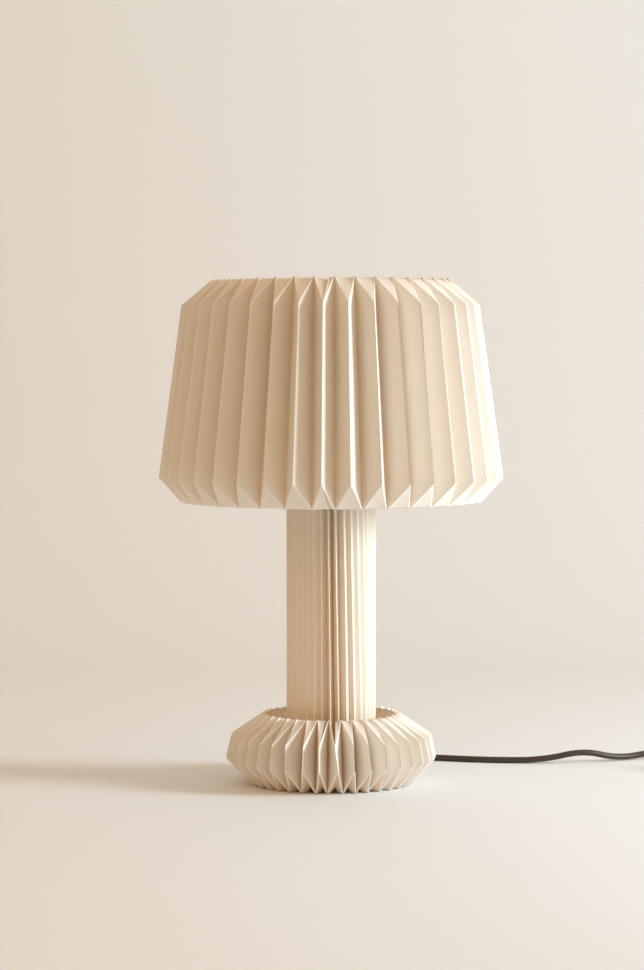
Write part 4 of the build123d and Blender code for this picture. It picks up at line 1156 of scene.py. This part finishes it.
# ---- lamp holder and bulb ----
@dataclass
class LampHolder:
    """The black holder: a cover like a bell below and a ribbed sleeve above.

    Fields:
        hole_r, boss_r, mouth_r: radii of the hole below, the boss round it, and the mouth.
        seat: the mouth's floor, above the joint.
        inset, rib_mm: how much narrower the ribbed part is, and how far its ribs stand out.
    """

    cover_z: float = 267.4
    joint_z: float = 287.4
    top_z: float = 323.4
    radius: float = 20.0
    wall: float = 2.0
    hole_r: float = 5.1
    boss_r: float = 8.1
    mouth_r: float = 13.5
    seat: float = 12.8
    inset: float = 0.5
    ribs: int = 48
    rib_mm: float = 0.35

    def cover(self) -> list[Spot]:
        """The bell's profile, a loop."""
        low, joint, r, hole, boss = self.cover_z, self.joint_z - 0.2, self.radius, self.hole_r, self.boss_r
        inner, floor, rim = r - self.wall, low + self.wall, low + 9.0
        outside = [(hole, low, 0), (11.8, low, 0.8), (r - 0.2, rim, 3.0), (r, joint, 0.5)]
        inside = [(inner, joint, 0), (inner, low + 10.0, 1.5), (11.0, floor, 0), (boss, floor, 0)]
        return rounded([*outside, *inside, (boss, rim, 0), (hole, rim, 0), (hole, low, 0)])

    def sleeve(self) -> list[Spot]:
        """The sleeve's profile, a loop."""
        low, top, r, mouth = self.joint_z + 0.1, self.top_z, self.radius, self.mouth_r
        inner, seat, grip = r - self.wall, self.joint_z + self.seat, r - self.inset
        outside = [(inner, low, 0), (r, low, 0.5), (r, self.joint_z + 5.0, 0)]
        ribbed = [(grip, self.joint_z + 6.0, 0.3), (grip, top - 7.0, 0.3)]
        inside = [(r, top - 6.0, 0.3), (r, top, 1.2), (mouth, top, 0.8), (mouth, seat, 0)]
        return rounded([*outside, *ribbed, *inside, (inner, seat, 0), (inner, low, 0)])

    def build(self) -> list[Object]:
        """Cover and sleeve; on the sleeve's narrow part the ribs add rib_mm cos(ribs a)."""
        sleeve = np.array(self.sleeve())
        radii, heights = sleeve[:, :1], sleeve[:, 1:]
        between = (heights > self.joint_z + 6.0) & (heights < self.top_z - 7.0)
        ribbed = between & (radii > self.radius - self.inset - 0.1)
        segments = self.ribs * 6
        angles = np.arange(segments)[None, :] * 2 * np.pi * self.ribs / segments
        ripple = ribbed * self.rib_mm * np.cos(angles)
        pieces = [
            turned("holder_bell", self.cover(), Finishes.HOLDER),
            turned("holder_grip", sleeve, Finishes.HOLDER, segments, ripple),
        ]
        for piece, node in zip(pieces, ("holder_cover", "holder_sleeve")):
            crease(piece, 50)
            keep(piece, "stand", "holder_plastic", node)
        return pieces


@dataclass
class FilamentBulb:
    """A small globe bulb with a screw cap.

    Fields:
        shell_z, shell_h: where the cap starts, and its height.
        runout: heights over which the thread starts and ends.
        foot_mm, foot_h: how much narrower the cap is at its foot, and up to which height.
        flare_deg: how far below its middle the globe starts.
    """

    shell_z: float = 309.4
    shell_h: float = 19.0
    thread_r: float = 13.1
    thread_pitch: float = 3.6
    thread_mm: float = 1.0
    runout: Spot = (2.0, 2.5)
    foot_mm: float = 0.6
    foot_h: float = 3.0
    neck_r: float = 12.2
    globe_r: float = 22.5
    neck_h: float = 14.0
    flare_deg: float = 48.0
    glass_mm: float = 0.8

    def glass_line(self, inset: float) -> list[Spot]:
        """The glass's outline, inset from its outside: neck, flare and globe to the pole."""
        top = self.shell_z + self.shell_h
        start = math.radians(-self.flare_deg)
        globe_z = top + self.neck_h + self.globe_r * math.sin(-start)
        neck, globe = self.neck_r - inset, self.globe_r - inset
        first = np.array([globe * math.cos(start), globe_z + globe * math.sin(start)])
        pull = self.neck_h / 3
        nodes = [
            np.array([neck, top - 1.0]),
            np.array([neck, top + pull]),
            first + pull * np.array([math.sin(start), -math.cos(start)]),
            first,
        ]
        t = np.linspace(0.0, 1.0, 14)[:, None]
        shares = ((1 - t) ** 3, 3 * t * (1 - t) ** 2, 3 * t**2 * (1 - t), t**3)
        flare = sum(share * node for share, node in zip(shares, nodes))
        angles = np.linspace(start, math.pi / 2, 28)[1:]
        arc = np.column_stack([globe * np.cos(angles), globe_z + globe * np.sin(angles)])
        return [tuple(point) for point in np.concatenate([flare, arc])]

    def thread(self) -> Object:
        """The cap: r = R - d (1 - cos(2 pi (z / pitch - a))) / 2, plain at its two ends."""
        rows, columns = 96, 72
        rise = np.linspace(0.0, 1.0, rows)[:, None]
        turn = np.arange(columns)[None, :] / columns
        height = rise * self.shell_h
        wave = 0.5 - 0.5 * np.cos(2 * np.pi * (height / self.thread_pitch - turn))
        start, end = height / self.runout[0], (self.shell_h - height) / self.runout[1]
        ends = np.clip(start, 0, 1) * np.clip(end, 0, 1)
        foot = self.foot_mm * (1 - ends) * (height < self.foot_h)
        radii = self.thread_r - self.thread_mm * wave * ends - foot
        heights = np.concatenate([height[:1], height, height[-1:]])
        radii = np.concatenate([np.zeros((1, columns)), radii, np.zeros((1, columns))])
        grid = around(radii, turn * 360.0, self.shell_z + heights)
        piece = mesh_object("bulb_screw_cap", grid, grid_faces(rows + 2, columns, wrap=True), Finishes.CAP)
        weld(piece, closed=True)
        crease(piece, 60)
        return keep(piece, "bulb", "bulb_cap", "bulb_cap")

    def build(self) -> list[Object]:
        """Glass and cap; what is inside them is copied with the fittings."""
        outside, inside = self.glass_line(0.0), self.glass_line(self.glass_mm)
        glass = turned("bulb_globe", outside + inside[::-1] + outside[:1], Finishes.GLASS, 72)
        return [keep(glass, "bulb", "bulb_glass", "bulb_glass"), self.thread()]


# ---- the rest ----
@dataclass
class Fittings:
    """Pieces whose CAD shape is right: they get smooth shading or only a finish.

    Fields:
        copies: node, name of the copy, finish, body and slot.
        dressed: finish and the nodes that get only that.
    """

    copies: tuple[tuple[str, str, Finishes, str, str], ...] = (
        ("switch_base", "switch_tray", Finishes.FITTING, "stand", "cord_fittings"),
        ("switch_cover", "switch_lid", Finishes.FITTING, "stand", "cord_fittings"),
        ("switch_rocker", "switch_key", Finishes.ROCKER, "rocker", "rocker_plastic"),
        ("switch_screws", "switch_fixings", Finishes.STEEL, "stand", "steel"),
        ("switch_contacts", "switch_springs", Finishes.BRASS, "stand", "brass"),
        ("coil_tie", "cord_tie", Finishes.FITTING, "stand", "cord_fittings"),
        ("plug_body", "plug_shell", Finishes.FITTING, "stand", "cord_fittings"),
        ("plug_pins", "plug_contacts", Finishes.PIN, "stand", "plug_metal"),
        ("shade_carrier", "shade_spider", Finishes.WIRE, "carrier", "white_wire"),
        ("shade_low_ring", "shade_hoop_low", Finishes.WIRE, "shade", "white_wire"),
        ("shade_top_ring", "shade_hoop_top", Finishes.WIRE, "shade", "white_wire"),
        ("inner_cord", "cord_inside", Finishes.FLEX, "stand", "cord_jacket"),
        ("lead_wires", "lead_pair", Finishes.LEAD, "stand", "wire_insulation"),
        ("bulb_stem", "bulb_stem_glass", Finishes.GLASS, "bulb", "bulb_glass"),
        ("bulb_filaments", "bulb_filament_rods", Finishes.PHOSPHOR, "bulb", "phosphor"),
        ("bulb_insulator", "bulb_cap_glass", Finishes.VITRITE, "bulb", "black_glaze"),
        ("bulb_contact", "bulb_cap_button", Finishes.CAP, "bulb", "bulb_cap"),
    )
    dressed: tuple[tuple[Finishes, tuple[str, ...]], ...] = (
        (Finishes.FELT, ("felt_pad",)),
        (Finishes.IRON, ("base_weight",)),
        (Finishes.STEEL, ("base_screws", "threaded_nipple", "lock_nuts", "nut_washers")),
        (Finishes.WOOD, ("foot_disc", "head_disc")),
        (Finishes.BOARD, ("column_core", "column_cap")),
        (Finishes.STEATITE, ("holder_core",)),
        (Finishes.BRASS, ("centre_contact", "side_contact", "terminal_screws")),
    )

    def build(self) -> dict[str, Object]:
        """Dress the nodes that stay, and make smooth copies of the others.

        Returns:
            The copies by the name of their CAD node.
        """
        for finish, nodes in self.dressed:
            for node in nodes:
                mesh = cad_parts[node].data
                mesh.materials.clear()
                mesh.materials.append(finish.made())
                LOG.info("%s is dressed with %s", node, finish.value.name)
        return {
            node: keep(smooth_copy(node, name, finish), body, slot, node)
            for node, name, finish, body, slot in self.copies
        }


# ---- studio ----
@dataclass
class Studio:
    """A pale sweep, a soft key light from the right, warm light all round, and the camera.

    Fields:
        focal_px: focal length in pixels of the photograph.
        eye: the camera's place.
        pitch_deg, yaw_deg: how far it looks down and to the left.
        key_far, key_aim: the key light's distance, and the height that it is aimed at.
        air_colour, zenith_colour: the room's light from the side and from overhead.
        beyond_colour: what the camera sees past the sweep.
        sweep_reach, bend_y, bend_r: half the sweep's width, and where and how it bends up.
    """

    focal_px: float = 2889.0
    frame_px: float = 970.0
    sensor_mm: float = 36.0
    eye: Point = (0.0, -2458.0, 366.0)
    pitch_deg: float = 2.6
    yaw_deg: float = 0.18
    key_azimuth: float = 77.0
    key_height_deg: float = 13.5
    key_far: float = 2000.0
    key_aim: float = 180.0
    key_size: Spot = (0.5, 0.8)
    key_watts: float = 42.0
    key_colour: Colour = (0.75, 0.91, 1.0)
    air_colour: Colour = (0.50, 0.285, 0.07)
    zenith_colour: Colour = (0.80, 0.62, 0.49)
    beyond_colour: Colour = (0.76, 0.69, 0.61)
    sweep_reach: float = 4200.0
    bend_y: float = 900.0
    bend_r: float = 900.0

    def sweep(self) -> Object:
        """Floor, bend and wall in one sheet: a line, a quarter circle and a line, drawn wide."""
        far, start, r = self.sweep_reach, self.bend_y, self.bend_r
        angles = np.linspace(0.0, np.pi / 2, 24)
        floor = np.column_stack([np.linspace(-far, start, 30), np.zeros(30)])
        bend = np.column_stack([start + r * np.sin(angles), r * (1 - np.cos(angles))])
        wall = np.column_stack([np.full(12, start + r), np.linspace(r, far, 12)])
        line = np.concatenate([floor, bend[1:], wall[1:]])
        x = np.linspace(-far, far, 24)
        grid = np.empty((len(line), len(x), 3))
        grid[..., 0] = x[None, :]
        grid[..., 1:] = line[:, None, :]
        piece = mesh_object("backdrop", grid, grid_faces(len(line), len(x)), Finishes.BACKDROP)
        return piece

    def key(self) -> Object:
        """The key light, aimed at the middle of the lamp."""
        light = bpy.data.lights.new("key", "AREA")
        light.shape = "RECTANGLE"
        light.size, light.size_y = self.key_size
        light.energy = self.key_watts
        light.color = self.key_colour
        made = placed("key", light)
        made.visible_camera = False
        rise = math.radians(self.key_height_deg)
        flat = self.key_far * math.cos(rise)
        place = around(flat, self.key_azimuth, self.key_aim + self.key_far * math.sin(rise))
        made.location = tuple((place * MM).tolist())
        made.rotation_euler = (math.pi / 2 - rise, 0.0, math.radians(self.key_azimuth))
        return made

    def air(self) -> None:
        """The warm light of the room, whiter from overhead, and a plain colour beyond the sweep."""
        world = bpy.data.worlds.new("room")
        world.use_nodes = True
        graph = Graph(world.node_tree)
        way = graph.node("ShaderNodeTexCoord", output="Generated")
        height = graph.node("ShaderNodeSeparateXYZ", inputs={0: way}, output="Z")
        fade = graph.blend(height, self.air_colour, self.zenith_colour)
        seen = graph.node("ShaderNodeLightPath", output="Is Camera Ray")
        colour = graph.blend(seen, fade, self.beyond_colour)
        graph.put(graph.tree.nodes["Background"].inputs["Color"], colour)
        bpy.context.scene.world = world
        bpy.context.scene.view_settings.view_transform = "Standard"

    def camera(self) -> Object:
        """The camera where the photograph was taken."""
        lens = bpy.data.cameras.new("camera")
        lens.sensor_fit = "AUTO"
        lens.sensor_width = self.sensor_mm
        lens.lens = self.sensor_mm * self.focal_px / self.frame_px
        lens.clip_start, lens.clip_end = 0.05, 30.0
        made = placed("camera", lens)
        made.location = tuple(value * MM for value in self.eye)
        made.rotation_euler = (math.radians(90.0 - self.pitch_deg), 0.0, math.radians(self.yaw_deg))
        bpy.context.scene.camera = made
        return made

    def build(self) -> None:
        """Set up everything."""
        self.sweep()
        self.key()
        self.air()
        self.camera()
        LOG.info("studio is set")


# ---- the lamp ----
SHADE = FoldedSkin(
    name="shade_paper",
    node="shade_skin",
    body="shade",
    turn=-3.0,
    rim=(100.0, 430.0),
    shoulder=(127.0, 407.0),
    hem=(147.0, 261.0),
    sole=(128.0, 240.0),
    upper=Web(
        dish=0.8,
        crown=0.4,
        lip=1.6,
        seam=(Flap(0, -1.0, 0.66, tuck=3.0), Flap(0, 0.5, 1.0, tuck=-0.6)),
    ),
    lower=Web(
        dish=0.8,
        crown=0.3,
        seam=(Flap(0, -1.0, 0.45), Flap(0, 0.2, 1.0, tuck=4.0)),
    ),
    finish=Finishes.PAPER,
    lining=Finishes.LINING,
    seed=11,
)
FOOT = FoldedSkin(
    name="foot_paper",
    node="foot_skin",
    body="stand",
    turn=-6.5,
    rim=(57.0, 61.0),
    shoulder=(86.0, 41.0),
    hem=(90.0, 22.0),
    sole=(69.0, 0.0),
    upper=Web(dish=0.8, crown=0.4, lip=1.4, seam=(Flap(0, -1.0, 0.3), Flap(1, 0.1, 1.0))),
    lower=Web(dish=12.0, crown=0.0, creased=True),
    finish=Finishes.FOOT_PAPER,
    lining=Finishes.FOOT_LINING,
    seed=23,
    stray_deg=0.4,
    stray_mm=0.3,
    bow_mm=0.4,
)


def main() -> None:
    """Build the lamp's pieces in order."""
    logging.basicConfig(level=logging.INFO, format="%(name)s: %(message)s")
    Studio().build()
    fittings = Fittings().build()
    cord = MainsCord()
    on_cord = ("switch_base", "switch_cover", "switch_rocker", "switch_screws", "switch_contacts")
    cord.build([fittings[node] for node in (*on_cord, "coil_tie", "plug_body", "plug_pins")])
    StrainRelief(cord).build()
    SHADE.build()
    FOOT.build()
    PleatedColumn().build()
    LampHolder().build()
    FilamentBulb().build()


if __name__ == "__main__":
    main()
